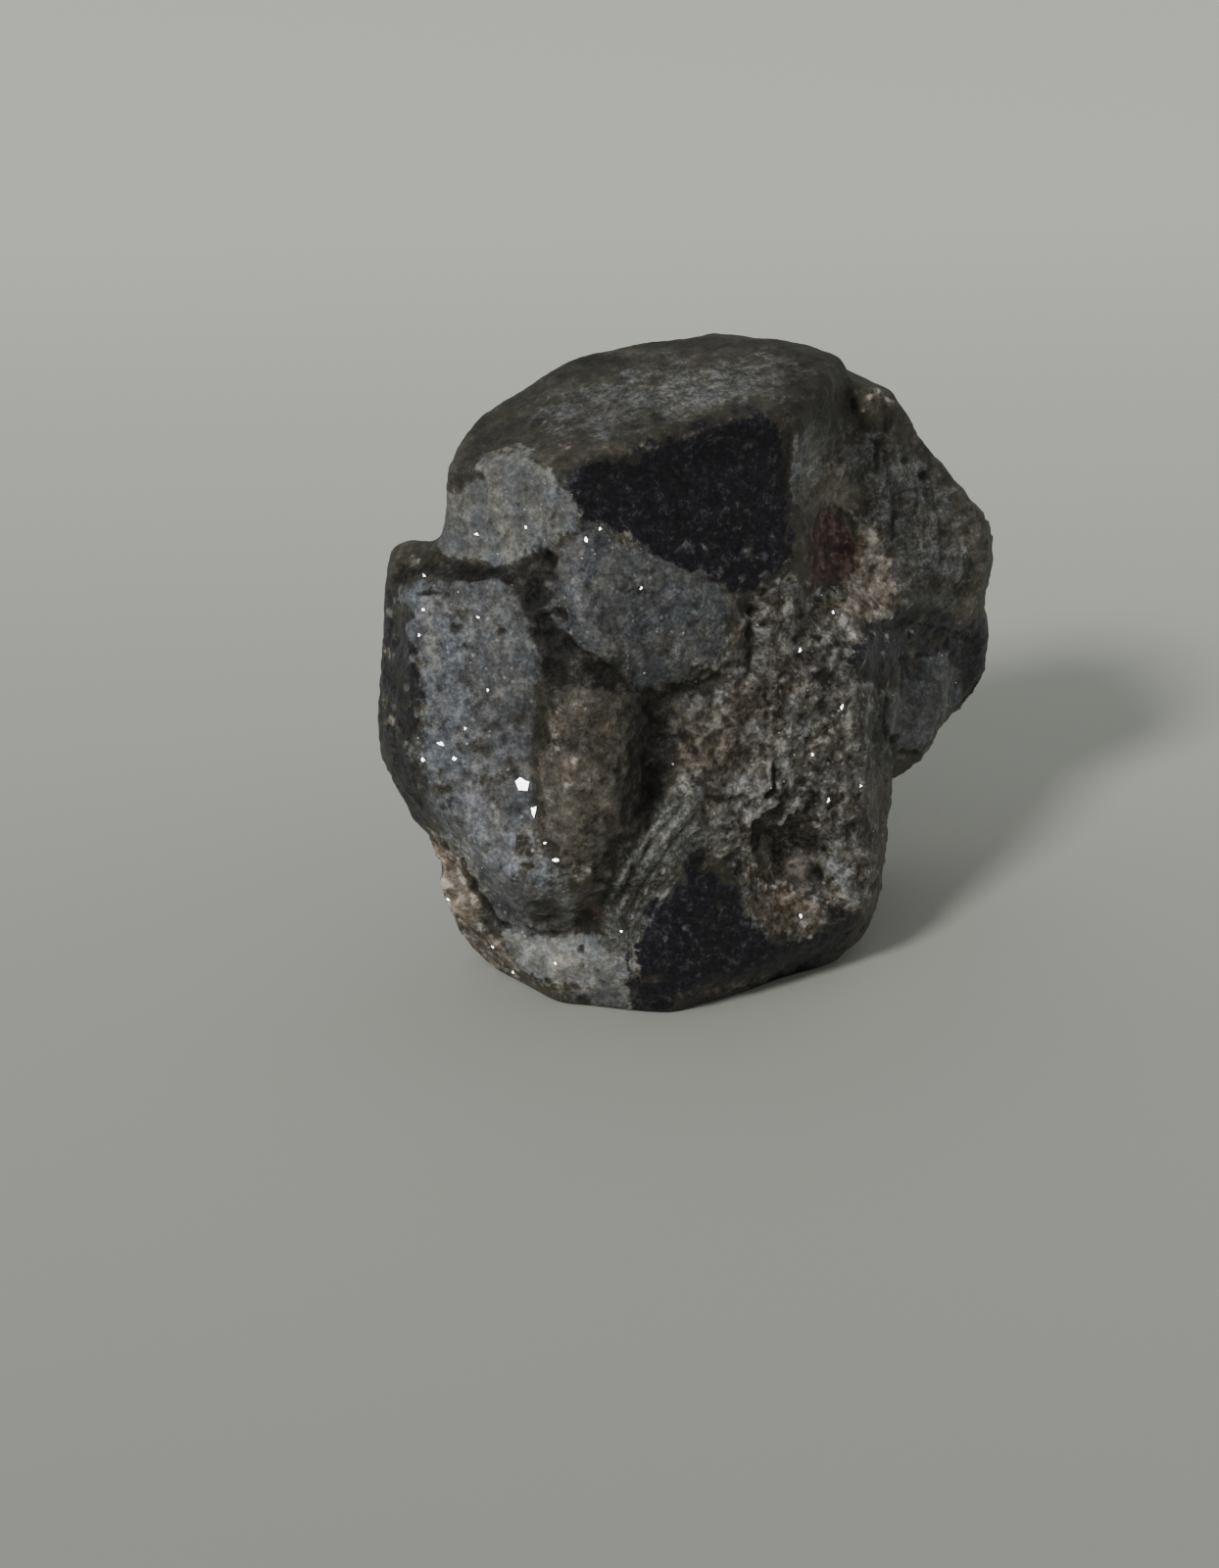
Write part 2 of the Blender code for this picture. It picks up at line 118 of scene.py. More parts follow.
# Zones of the side that the photograph shows: what covers the zone, how ragged its border is and how
# soft, in pixels, how far it stands proud, and its outline in pixels of the photograph
ZONES = {
    "top_scuffs": (
        "scuffed", 14, 22, 0.0,
        ((560, 420), (640, 385), (720, 373), (800, 370), (822, 385), (765, 398), (700, 420), (600, 440)),
    ),
    # The roof of the left arm under the head: dark seam rock, and painted shade where the head and the lens
    # shade it
    "roof": (
        "seam", 8, 9, -0.05,
        ((405, 575), (440, 572), (500, 580), (545, 585), (558, 557), (570, 585), (578, 635), (600, 660),
         (622, 676), (646, 695), (650, 712), (600, 712), (560, 715), (548, 690), (541, 644), (527, 611),
         (500, 597), (450, 592), (402, 597)),
    ),
    "upper_face": (
        "bare", 8, 9, -0.08,
        ((578, 480), (602, 468), (658, 460), (690, 446), (727, 428), (765, 417), (798, 428), (810, 480),
         (808, 540), (797, 590), (772, 606), (740, 606), (700, 590), (650, 560), (600, 545)),
    ),
    "lens": (
        "schist", 7, 10, 0.07,
        ((574, 552), (602, 537), (622, 541), (649, 552), (680, 574), (713, 588), (730, 597), (745, 612),
         (748, 644), (739, 674), (713, 694), (686, 708), (647, 699), (622, 674), (583, 655), (574, 635),
         (563, 608), (560, 591)),
    ),
    "upper_left_patch": (
        "pale", 7, 9, 0.04,
        ((487, 466), (535, 464), (547, 474), (569, 494), (585, 524), (591, 540), (574, 552), (563, 562),
         (535, 574), (491, 572), (452, 567), (444, 547), (458, 508), (472, 497), (483, 480)),
    ),
    "left_block": (
        "schist", 6, 8, 0.08,
        ((402, 597), (450, 590), (500, 597), (527, 611), (541, 644), (549, 672), (552, 700), (548, 730),
         (546, 760), (546, 800), (552, 840), (568, 888), (585, 902), (590, 950), (660, 960), (650, 1010),
         (560, 1004), (513, 949), (491, 924), (477, 896), (463, 860), (438, 832), (430, 790), (418, 763),
         (430, 730), (424, 677), (405, 640)),
    ),
    "block_pale_strip": (
        "frost", 10, 14, 0.0,
        ((408, 602), (440, 600), (470, 640), (478, 700), (470, 750), (500, 790), (520, 850), (555, 860),
         (590, 900), (560, 905), (520, 890), (480, 850), (450, 810), (425, 790), (430, 740), (428, 680),
         (405, 640)),
    ),
    "left_edge": (
        "bare", 8, 8, -0.05,
        ((384, 600), (404, 600), (420, 660), (430, 730), (416, 763), (430, 800), (440, 845), (425, 850),
         (400, 790), (380, 700)),
    ),
    "lower_left_tan": (
        "tan", 8, 9, 0.0,
        ((430, 848), (447, 856), (468, 874), (483, 905), (500, 945), (545, 958), (545, 1000), (505, 990),
         (470, 960), (440, 905)),
    ),
    "foot_band": (
        "pale", 8, 10, 0.0,
        ((505, 945), (560, 952), (640, 945), (650, 975), (640, 1024), (560, 1010), (520, 985)),
    ),
    "granular_field": (
        "granular", 9, 12, 0.05,
        ((655, 930), (640, 880), (670, 820), (685, 770), (700, 700), (745, 655), (765, 610), (805, 585),
         (850, 600), (905, 640), (905, 700), (880, 750), (905, 800), (905, 880), (880, 935), (818, 960),
         (770, 950), (740, 880), (700, 870), (680, 900)),
    ),
    "rust_field": (
        "rust", 20, 24, 0.0,
        ((700, 735), (730, 715), (765, 720), (770, 770), (745, 800), (715, 800), (690, 770)),
    ),
    "knob": (
        "brown", 8, 9, 0.0,
        ((580, 700), (630, 705), (645, 740), (655, 800), (650, 850), (630, 900), (605, 925), (570, 890),
         (550, 830), (548, 770), (560, 720)),
    ),
    # The knob's right flank and the groove beside it: dark seam rock, and painted shade on the flank turned
    # from the light
    "beside_knob": (
        "seam", 9, 10, 0.0,
        ((650, 712), (690, 706), (690, 760), (680, 810), (660, 850), (640, 900), (610, 925), (622, 880),
         (640, 820), (636, 770)),
    ),
    "strap": (
        "scuffed", 7, 8, 0.06,
        ((612, 955), (628, 905), (650, 862), (682, 812), (712, 806), (718, 850), (704, 880), (682, 905),
         (666, 940), (650, 990)),
    ),
    "lower_face": (
        "bare", 9, 8, -0.06,
        ((646, 975), (673, 920), (696, 891), (712, 875), (732, 878), (751, 902), (759, 930), (784, 956),
         (818, 962), (851, 942), (882, 935), (862, 966), (796, 998), (723, 1020), (657, 1028), (643, 995)),
    ),
    # The pit's upper wall: dark seam rock, and painted shade in the pit under its rim
    "pit_wall": (
        "seam", 6, 7, 0.0,
        ((762, 830), (796, 826), (830, 845), (835, 895), (815, 905), (790, 905), (770, 895)),
    ),
    "pit_floor": (
        "tan", 8, 8, 0.0,
        ((773, 912), (800, 905), (834, 912), (838, 945), (800, 956), (775, 945)),
    ),
    "right_facet": (
        "brown", 5, 8, 0.0,
        ((826, 422), (845, 436), (870, 450), (880, 500), (870, 525), (820, 530), (808, 500), (812, 447)),
    ),
    "tan_field": (
        "tan", 12, 16, 0.0,
        ((868, 522), (900, 530), (915, 570), (925, 620), (900, 640), (850, 620), (835, 600), (870, 590)),
    ),
    "arm_streaks": (
        "scuffed", 10, 16, 0.0,
        ((868, 440), (900, 448), (930, 462), (962, 495), (985, 540), (990, 600), (980, 632), (935, 618),
         (912, 570), (888, 520), (872, 480)),
    ),
    "grey_facet": (
        "scuffed", 2, 4, 0.0,
        ((832, 424), (846, 445), (846, 470), (835, 495), (815, 520), (808, 500), (811, 450)),
    ),
    # The dark band under the right arm's ridge: dark crystal face, and painted shade of this downward facet
    "dark_band_and_painted_shade": (
        "bare", 9, 9, -0.04,
        ((862, 668), (880, 645), (905, 632), (960, 630), (1006, 640), (1004, 700), (988, 730), (978, 690),
         (955, 668), (930, 676), (905, 694), (885, 692)),
    ),
    "right_lens": (
        "schist", 6, 8, 0.08,
        ((893, 722), (912, 700), (934, 680), (959, 670), (978, 686), (984, 707), (967, 740), (942, 764),
         (920, 774), (903, 768), (905, 745)),
    ),
    "garnet_patch": (
        "garnet", 5, 3, 0.05,
        ((845, 518), (862, 524), (873, 545), (870, 575), (850, 597), (828, 597), (820, 575), (826, 545)),
    ),
}

# Spots on that side: what each kind of spot shows, how fully it covers, how far it stands proud, and
# for each spot its middle and its half width and half height in pixels
SPOTS = {
    "top_dabs": ("scuffed", 0.7, 0.02, (
        (735, 402, 14, 9), (672, 410, 9, 4), (785, 365, 10, 3), (808, 372, 10, 3), (760, 395, 8, 4),
        (675, 360, 8, 3), (640, 400, 16, 6), (700, 390, 20, 5), (610, 425, 14, 6),
    )),
    "rim_dabs": ("tan", 0.5, 0.02, (
        (655, 452, 9, 5), (575, 455, 8, 5), (622, 455, 7, 4), (520, 430, 9, 5),
    )),
    "rim_rust": ("rust", 0.4, 0.0, (
        (735, 355, 12, 4), (640, 470, 30, 5), (722, 447, 25, 5), (765, 452, 12, 7), (800, 450, 6, 14),
    )),
    "face_flecks": ("pale", 0.55, 0.03, (
        (752, 540, 6, 2), (780, 548, 3, 5), (772, 570, 8, 3), (790, 565, 3, 5), (758, 590, 5, 4),
        (743, 520, 5, 4), (763, 523, 4, 5), (765, 487, 5, 3), (787, 512, 5, 4), (765, 478, 3, 3),
        (707, 467, 4, 3), (737, 583, 5, 6), (765, 560, 4, 8), (783, 588, 9, 8), (730, 545, 4, 3),
        (698, 500, 3, 3), (775, 535, 3, 3), (720, 560, 4, 3),
    )),
    "face_grey": ("schist", 0.35, 0.0, ((740, 525, 26, 14), (770, 560, 18, 22), (700, 560, 16, 10))),
    "lens_olive": ("pale", 0.35, 0.0, (
        (712, 632, 26, 34), (635, 560, 34, 14), (690, 668, 30, 16), (600, 585, 14, 24),
    )),
    "lilac_field": ("frost", 0.45, 0.0, ((880, 728, 26, 14), (893, 755, 16, 18), (858, 742, 10, 14))),
    "arm_blue": ("schist", 0.5, 0.0, ((898, 470, 14, 26), (925, 520, 12, 34))),
    "arm_olive": ("brown", 0.5, 0.0, ((950, 600, 34, 18), (965, 540, 12, 40), (880, 500, 12, 26))),
    "lens_blue": ("frost", 0.4, 0.0, ((650, 600, 26, 16), (668, 640, 18, 12), (610, 620, 14, 10))),
    "patch_hollows": ("seam", 0.5, -0.08, (
        (468, 490, 8, 15), (482, 484, 11, 6), (527, 516, 6, 4), (475, 545, 6, 5), (500, 533, 4, 3),
        (535, 500, 4, 4),
    )),
    "patch_blue": ("schist", 0.5, 0.03, (
        (570, 500, 9, 12), (585, 515, 5, 8), (545, 555, 18, 12), (562, 530, 8, 10),
    )),
    "patch_tan": ("tan", 0.4, 0.0, ((590, 530, 8, 10), (505, 485, 12, 6), (515, 545, 8, 5))),
    "roof_tan": ("tan", 0.5, 0.05, (
        (422, 573, 7, 6), (470, 578, 9, 4), (505, 585, 7, 4), (446, 562, 8, 4), (585, 583, 10, 3),
    )),
    # Dark spots on the roof and beside the lens: partly dark rock, partly painted shade under the head and
    # the lens
    "roof_dark_and_painted_shade": ("seam", 0.7, -0.12, (
        (445, 577, 9, 4), (409, 592, 10, 5), (547, 590, 14, 14), (560, 570, 8, 14), (548, 612, 14, 12),
        (556, 632, 14, 10), (570, 625, 10, 10), (560, 650, 16, 8), (440, 605, 20, 4), (480, 590, 14, 3),
    )),
    "block_dark": ("seam", 0.5, -0.06, (
        (412, 625, 10, 10), (472, 628, 9, 10), (402, 648, 12, 10), (465, 640, 6, 8), (426, 705, 8, 4),
        (448, 703, 6, 5), (430, 663, 7, 4), (503, 742, 12, 9), (530, 733, 14, 8), (497, 765, 9, 8),
        (470, 760, 6, 7), (457, 805, 8, 5), (493, 795, 6, 7), (530, 825, 7, 9), (450, 790, 5, 5),
    )),
    "block_red": ("rust", 0.5, 0.0, (
        (514, 643, 6, 6), (415, 780, 4, 6), (585, 870, 15, 9), (640, 860, 8, 6),
    )),
    "block_white": ("pale", 0.8, 0.06, (
        (443, 690, 5, 5), (432, 674, 4, 5), (438, 718, 5, 5), (430, 727, 5, 4), (447, 737, 7, 8),
        (475, 743, 6, 5), (405, 612, 6, 7), (440, 640, 5, 20), (487, 630, 6, 4), (422, 773, 5, 8),
        (445, 785, 6, 5), (433, 776, 5, 4), (502, 605, 8, 5), (446, 655, 5, 9),
    )),
    "block_olive": ("tan", 0.4, 0.0, (
        (498, 704, 5, 4), (510, 713, 9, 6), (522, 722, 6, 4), (515, 775, 10, 4), (515, 790, 11, 9),
        (485, 668, 8, 5), (455, 668, 5, 5),
    )),
    "block_green": ("granular", 0.4, 0.03, ((480, 795, 18, 12), (590, 930, 10, 9), (540, 845, 14, 12))),
    "edge_tan": ("tan", 0.6, 0.03, (
        (393, 665, 4, 8), (391, 715, 4, 11), (398, 735, 6, 8), (412, 760, 5, 5), (400, 620, 4, 6),
    )),
    "edge_black": ("seam", 0.5, -0.10, (
        (405, 690, 12, 15), (412, 715, 12, 16), (418, 742, 13, 13), (405, 752, 7, 18), (425, 790, 8, 17),
        (428, 815, 8, 13),
    )),
    "edge_blue": ("frost", 0.6, 0.03, (
        (398, 625, 6, 6), (420, 672, 5, 8), (412, 702, 4, 5), (424, 728, 4, 6), (418, 770, 6, 6),
        (436, 760, 5, 5), (401, 722, 4, 6), (428, 803, 5, 5), (400, 670, 3, 5), (410, 612, 6, 5),
    )),
    "ledge_fill": ("tan", 0.5, 0.35, ((441, 868, 11, 14),)),
    "ledge_pink": ("tan", 0.7, 0.03, (
        (458, 890, 12, 10), (470, 905, 6, 10), (470, 930, 10, 11), (480, 945, 11, 9), (450, 870, 6, 6),
    )),
    # Dark spots, most along the ledge: partly dark rock, partly painted shadow under the ledge
    "ledge_dark_and_painted_shade": ("seam", 0.6, -0.12, (
        (455, 865, 8, 5), (484, 905, 5, 9), (478, 925, 7, 6), (497, 925, 7, 11), (513, 943, 10, 5),
        (495, 938, 7, 5), (592, 968, 5, 5), (595, 985, 4, 5),
    )),
    "band_dark": ("seam", 0.35, -0.04, (
        (530, 975, 8, 4), (560, 1000, 10, 4), (585, 965, 8, 3), (612, 992, 7, 6), (626, 965, 5, 8),
    )),
    "band_pale": ("pale", 0.6, 0.05, (
        (570, 985, 6, 5), (572, 996, 5, 4), (570, 963, 6, 5), (557, 865, 8, 8), (570, 893, 20, 9),
        (502, 965, 6, 4), (510, 975, 5, 4), (533, 923, 5, 4),
    )),
    "green_patch": ("seam", 0.6, -0.05, (
        (562, 928, 22, 20), (532, 862, 9, 20), (540, 882, 8, 8), (555, 745, 9, 11),
    )),
    "knob_tan": ("tan", 0.45, 0.05, (
        (568, 722, 10, 16), (595, 720, 14, 10), (590, 885, 14, 16),
        (565, 755, 9, 32), (552, 775, 8, 6), (588, 775, 9, 6), (570, 740, 8, 5), (590, 709, 6, 5),
        (610, 832, 10, 7), (575, 800, 12, 9), (600, 795, 8, 6), (560, 815, 9, 10),
    )),
    "knob_rust": ("rust", 0.4, 0.0, (
        (632, 758, 4, 6), (634, 775, 4, 8), (620, 740, 6, 8), (600, 860, 10, 10),
    )),
    # Dark spots on and beside the knob: partly dark rock, partly painted shade on its right flank and in the
    # groove
    "knob_dark_and_painted_shade": ("seam", 0.45, -0.08, (
        (655, 780, 13, 15), (650, 805, 12, 10), (600, 815, 14, 9), (675, 760, 12, 8), (640, 888, 11, 13),
        (625, 860, 8, 10), (640, 905, 10, 7), (660, 838, 7, 6), (655, 865, 7, 6), (612, 775, 10, 8),
        (600, 748, 9, 5),
    )),
    "knob_side_blue": ("schist", 0.5, 0.06, ((655, 735, 11, 14), (645, 750, 7, 7), (668, 700, 10, 8))),
    "strap_pale": ("tan", 0.5, 0.05, (
        (642, 924, 9, 7), (645, 940, 6, 6), (698, 785, 17, 5), (648, 985, 7, 24),
    )),
    "granular_white": ("pale", 0.65, 0.07, (
        (737, 762, 5, 4), (712, 790, 6, 5), (750, 825, 6, 8), (735, 850, 12, 7), (705, 865, 6, 7),
        (850, 625, 4, 4), (816, 664, 3, 5), (843, 635, 5, 7), (830, 682, 9, 6), (836, 668, 7, 7),
        (790, 695, 12, 4), (905, 627, 6, 9), (868, 708, 8, 6), (865, 665, 9, 6), (905, 650, 3, 8),
        (845, 610, 13, 7), (805, 808, 5, 4), (829, 770, 4, 4), (872, 772, 3, 5), (845, 817, 3, 4),
        (878, 802, 5, 4), (849, 862, 3, 4), (847, 883, 4, 3), (852, 900, 6, 5), (870, 870, 5, 7),
        (752, 608, 6, 5), (783, 735, 8, 6), (795, 720, 9, 5), (820, 722, 12, 6), (704, 745, 5, 6),
        (780, 885, 6, 8), (768, 945, 7, 6),
    )),
    "granular_green": ("granular", 0.4, 0.06, (
        (812, 715, 20, 14), (750, 655, 7, 14), (812, 840, 10, 6),
    )),
    "granular_dark": ("seam", 0.6, -0.12, (
        (845, 665, 8, 9), (840, 692, 10, 7), (810, 653, 6, 5), (835, 650, 5, 4), (825, 755, 8, 5),
        (835, 785, 9, 9), (847, 825, 4, 6), (820, 798, 10, 6), (852, 835, 5, 8), (865, 852, 4, 12),
        (845, 612, 4, 4), (718, 745, 10, 5), (745, 875, 8, 6), (720, 885, 14, 12), (700, 752, 8, 7),
        (765, 655, 4, 20), (768, 625, 10, 5), (785, 718, 7, 4), (840, 722, 7, 8), (760, 770, 8, 5),
        (778, 765, 5, 6), (893, 752, 5, 8), (912, 752, 6, 6), (905, 772, 6, 7), (850, 930, 8, 8),
        (845, 950, 18, 7), (885, 640, 7, 7),
    )),
    "granular_rust": ("rust", 0.55, 0.0, (
        (742, 783, 4, 10), (770, 612, 10, 7), (890, 830, 3, 18), (888, 862, 3, 12), (895, 790, 4, 14),
        (820, 640, 12, 6), (800, 640, 6, 5), (880, 905, 8, 8), (905, 830, 4, 30), (835, 628, 10, 6),
        (805, 730, 8, 5),
    )),
    "garnet_red": ("garnet", 0.7, 0.03, (
        (850, 555, 18, 26), (603, 932, 13, 11), (835, 587, 6, 6), (514, 643, 4, 4), (662, 1000, 9, 6),
    )),
    "garnet_tan": ("tan", 0.6, 0.04, (
        (845, 567, 3, 3), (885, 560, 12, 18), (908, 605, 9, 9), (822, 582, 5, 4), (864, 590, 5, 5),
    )),
    "garnet_dark": ("seam", 0.4, -0.05, ((850, 525, 8, 9), (826, 560, 4, 6))),
    "facet_rust": ("rust", 0.5, 0.0, (
        (850, 470, 16, 26), (860, 475, 8, 12), (830, 505, 8, 10), (874, 553, 4, 10), (925, 585, 10, 8),
    )),
    "crag_pink": ("tan", 0.6, 0.10, ((893, 404, 12, 8), (908, 412, 7, 6), (880, 418, 6, 5))),
    "crag_dark": ("seam", 0.6, -0.20, (
        (908, 434, 6, 13), (897, 455, 5, 9), (943, 485, 5, 8), (872, 412, 4, 9), (925, 470, 5, 5),
    )),
    "arm_pale": ("pale", 0.5, 0.05, (
        (866, 500, 5, 6), (960, 485, 6, 4), (973, 500, 6, 5), (985, 560, 7, 8), (985, 530, 5, 6),
        (983, 548, 5, 4), (900, 500, 6, 9), (930, 510, 4, 8), (950, 530, 4, 9), (940, 560, 6, 7),
    )),
    "arm_dark": ("seam", 0.45, -0.10, (
        (965, 545, 5, 5), (975, 545, 4, 6), (912, 530, 4, 22), (918, 515, 4, 12), (895, 470, 4, 12),
        (945, 500, 4, 9), (932, 545, 4, 10), (925, 635, 12, 5), (915, 675, 12, 4), (920, 650, 10, 9),
        (950, 655, 28, 10), (985, 650, 14, 18), (985, 690, 14, 14), (978, 605, 8, 8), (912, 675, 8, 4),
        (908, 700, 12, 7), (888, 690, 15, 8), (880, 715, 8, 4),
    )),
    "band_grains": ("pale", 0.6, 0.06, (
        (932, 645, 3, 3), (903, 667, 4, 5), (884, 755, 4, 8), (948, 700, 4, 3),
    )),
    "arm_edge": ("brown", 0.7, 0.0, (
        (997, 560, 12, 50), (965, 740, 9, 10), (935, 447, 8, 16), (985, 620, 14, 20),
    )),
    "edge_olive": ("brown", 0.85, 0.0, ((904, 870, 12, 60), (896, 815, 14, 44), (890, 925, 12, 16))),
    "top_brown": ("rust", 0.35, 0.0, ((832, 405, 28, 36), (800, 380, 20, 10))),
    "pit_walls": ("rust", 0.75, 0.0, ((782, 878, 9, 24), (814, 882, 20, 24), (828, 880, 8, 18))),
    "pit_olive": ("brown", 0.6, 0.0, ((779, 868, 8, 26),)),
    "pit_slab": ("pale", 0.6, 0.08, (
        (765, 890, 7, 13), (776, 945, 8, 7), (817, 935, 4, 6), (831, 938, 6, 5),
    )),
    "pit_pink": ("tan", 0.4, 0.05, ((768, 920, 9, 11), (800, 925, 16, 11))),
    # Painted shade in the pit, under its rim
    "pit_painted_shade": ("seam", 0.35, -0.10, (
        (812, 865, 14, 14), (795, 852, 6, 14), (800, 910, 10, 5), (808, 955, 10, 5), (790, 915, 6, 4),
    )),
    "low_face_marks": ("schist", 0.3, 0.03, (
        (750, 948, 6, 8), (754, 975, 5, 5), (725, 977, 5, 5), (700, 948, 6, 5), (712, 973, 8, 4),
        (680, 960, 4, 8), (735, 925, 5, 7), (770, 985, 6, 4), (690, 935, 5, 6),
    )),
    "low_face_rust": ("rust", 0.4, 0.0, ((670, 1000, 11, 7), (735, 1008, 40, 6))),
    "lens_rim": ("tan", 0.4, 0.0, (
        (635, 547, 15, 6), (583, 645, 6, 9), (592, 655, 8, 5), (620, 666, 8, 5), (630, 677, 8, 5),
        (645, 687, 8, 5), (741, 640, 7, 35),
    )),
    "lens_dark": ("seam", 0.22, 0.0, (
        (618, 618, 8, 6), (625, 640, 12, 8), (636, 655, 10, 7), (708, 640, 8, 11), (692, 605, 6, 7),
        (660, 620, 7, 6), (600, 600, 6, 6), (672, 660, 9, 6),
    )),
}

# Lines on that side: what each shows, its half width in pixels, how fully it covers, how far it
# stands proud, crevices below zero, and the pixels that it passes through
STROKES = {
    "top_dark_dash": ("seam", 3, 0.5, -0.05, ((668, 376), (690, 373))),
    # A painted thin shadow under the ledge, with a real groove
    "ledge_painted_shadow_line": ("seam", 3, 0.6, -0.12, ((472, 878), (480, 895), (490, 912), (500, 930), (515, 942))),
    "ledge_rim": ("pale", 4, 0.6, 0.12, ((452, 852), (472, 864), (484, 884), (496, 906))),
    # These three lines: painted shade in the creases under the upper-left patch and under the lens, with
    # real grooves
    "roof_crease_painted_shade": ("seam", 4, 0.6, -0.15, ((455, 570), (480, 578), (520, 580), (545, 572))),
    "lens_undercut_painted_shade": ("seam", 4, 0.5, -0.15, ((566, 640), (590, 664), (618, 682), (648, 703), (680, 708))),
    "lens_crack_and_painted_shade": ("seam", 5, 0.6, -0.14, ((680, 702), (700, 704), (716, 700), (731, 690))),
    "rust_diagonal": ("rust", 8, 0.5, 0.0, ((764, 640), (752, 672), (728, 700), (698, 738))),
    "garnet_rim": ("seam", 2.5, 0.6, -0.06, ((832, 540), (838, 522), (852, 516), (867, 528), (874, 552))),
    "facet_rim": ("seam", 2.5, 0.5, -0.06, ((806, 440), (804, 480), (806, 515), (803, 560))),
    "crack_gold": ("rust", 2.5, 0.6, 0.0, ((700, 697), (712, 694))),
    "lens_right_rim": ("brown", 6, 0.5, 0.05, ((738, 598), (750, 625), (749, 655), (738, 682))),
    "face_edge": ("rust", 4, 0.45, 0.02, ((600, 472), (655, 463), (690, 450), (728, 432), (765, 422))),
    "facet_edge": ("pale", 2.5, 0.6, 0.05, ((812, 445), (810, 480), (812, 510))),
    "strand_one": ("pale", 3, 0.6, 0.10, ((622, 918), (642, 880), (667, 845), (690, 815))),
    "strand_two": ("pale", 2.5, 0.6, 0.08, ((630, 935), (652, 892), (678, 856), (704, 822))),
    "strand_three": ("granular", 3, 0.6, 0.08, ((640, 945), (662, 905), (690, 868), (714, 838))),
    "strand_four": ("pale", 3, 0.5, 0.06, ((652, 960), (672, 922), (698, 888))),
    "strand_gap_one": ("seam", 2.5, 0.5, -0.10, ((627, 926), (647, 886), (672, 850), (697, 818))),
    "strand_gap_two": ("seam", 2.5, 0.5, -0.10, ((636, 940), (657, 899), (684, 862), (709, 830))),
    "strand_gap_three": ("seam", 2.5, 0.45, -0.10, ((646, 952), (667, 914), (694, 878))),
    "knob_diagonal": ("pale", 4, 0.5, 0.08, ((638, 852), (658, 830))),
    "knob_ridge": ("tan", 3.5, 0.5, 0.08, ((590, 905), (600, 888), (606, 872))),
    "patch_line": ("seam", 2.5, 0.6, -0.06, ((538, 945), (555, 953), (580, 950), (592, 940))),
    "knob_left_line": ("seam", 5, 0.4, -0.12, ((548, 725), (543, 760), (546, 800), (552, 840), (566, 880))),
    "dark_block_line": ("seam", 3, 0.5, -0.10, ((522, 778), (528, 796))),
    "column_crack": ("seam", 4, 0.5, -0.12, ((765, 636), (767, 660), (764, 684), (752, 700))),
    "ridge_over_column": ("pale", 4, 0.6, 0.10, ((758, 634), (772, 630), (785, 628), (797, 632))),
    "curved_ridge": ("pale", 4, 0.7, 0.2, ((803, 752), (812, 745), (822, 741), (829, 748))),
    "curl_one": ("pale", 4, 0.75, 0.30, ((784, 780), (785, 800), (778, 806), (765, 812))),
    "curl_one_gap": ("seam", 3.5, 0.7, -0.25, ((790, 782), (790, 806), (784, 812))),
    "curl_two": ("pale", 4, 0.75, 0.30, ((762, 838), (775, 825), (790, 818))),
    "curl_two_gap": ("seam", 4, 0.7, -0.25, ((770, 841), (784, 830), (794, 823))),
    "curl_three": ("pale", 4, 0.7, 0.24, ((795, 838), (803, 825), (812, 819))),
    "curl_four": ("pale", 3.5, 0.6, 0.15, ((825, 800), (836, 806), (842, 820), (838, 834))),
    "grain_ridge": ("pale", 3.5, 0.6, 0.12, ((724, 800), (742, 806), (758, 800))),
    "grain_gap": ("seam", 3.5, 0.5, -0.18, ((720, 812), (740, 818), (760, 812))),
    "lilac_ridge": ("pale", 4, 0.6, 0.12, ((852, 735), (862, 712), (872, 698))),
    "band_line": ("seam", 4, 0.5, -0.20, ((900, 636), (930, 640), (962, 646), (990, 656))),
    "under_right_lens": ("seam", 4, 0.6, -0.20, ((905, 712), (903, 745), (914, 768), (935, 768))),
    "crag_line": ("seam", 3.5, 0.5, -0.10, ((868, 400), (874, 420), (884, 440))),
    "arm_line_one": ("seam", 3, 0.4, -0.05, ((905, 470), (912, 510), (914, 550))),
    "arm_line_two": ("pale", 3, 0.35, 0.03, ((928, 478), (938, 515), (946, 560))),
    "arm_line_three": ("seam", 3, 0.4, -0.05, ((950, 490), (958, 530), (960, 580))),
    "pit_lip": ("tan", 4, 0.5, 0.12, ((762, 845), (764, 870), (762, 900))),
    "low_strand_one": ("schist", 3, 0.35, 0.04, ((698, 945), (708, 958), (722, 976))),
    "low_strand_two": ("schist", 3, 0.3, 0.04, ((730, 915), (742, 940), (762, 962))),
    "foot_olive_line": ("tan", 4, 0.4, 0.03, ((545, 1000), (575, 1006), (605, 1008))),
    "rim_rust_low": ("rust", 5, 0.4, 0.0, ((690, 1018), (735, 1010), (782, 998))),
}
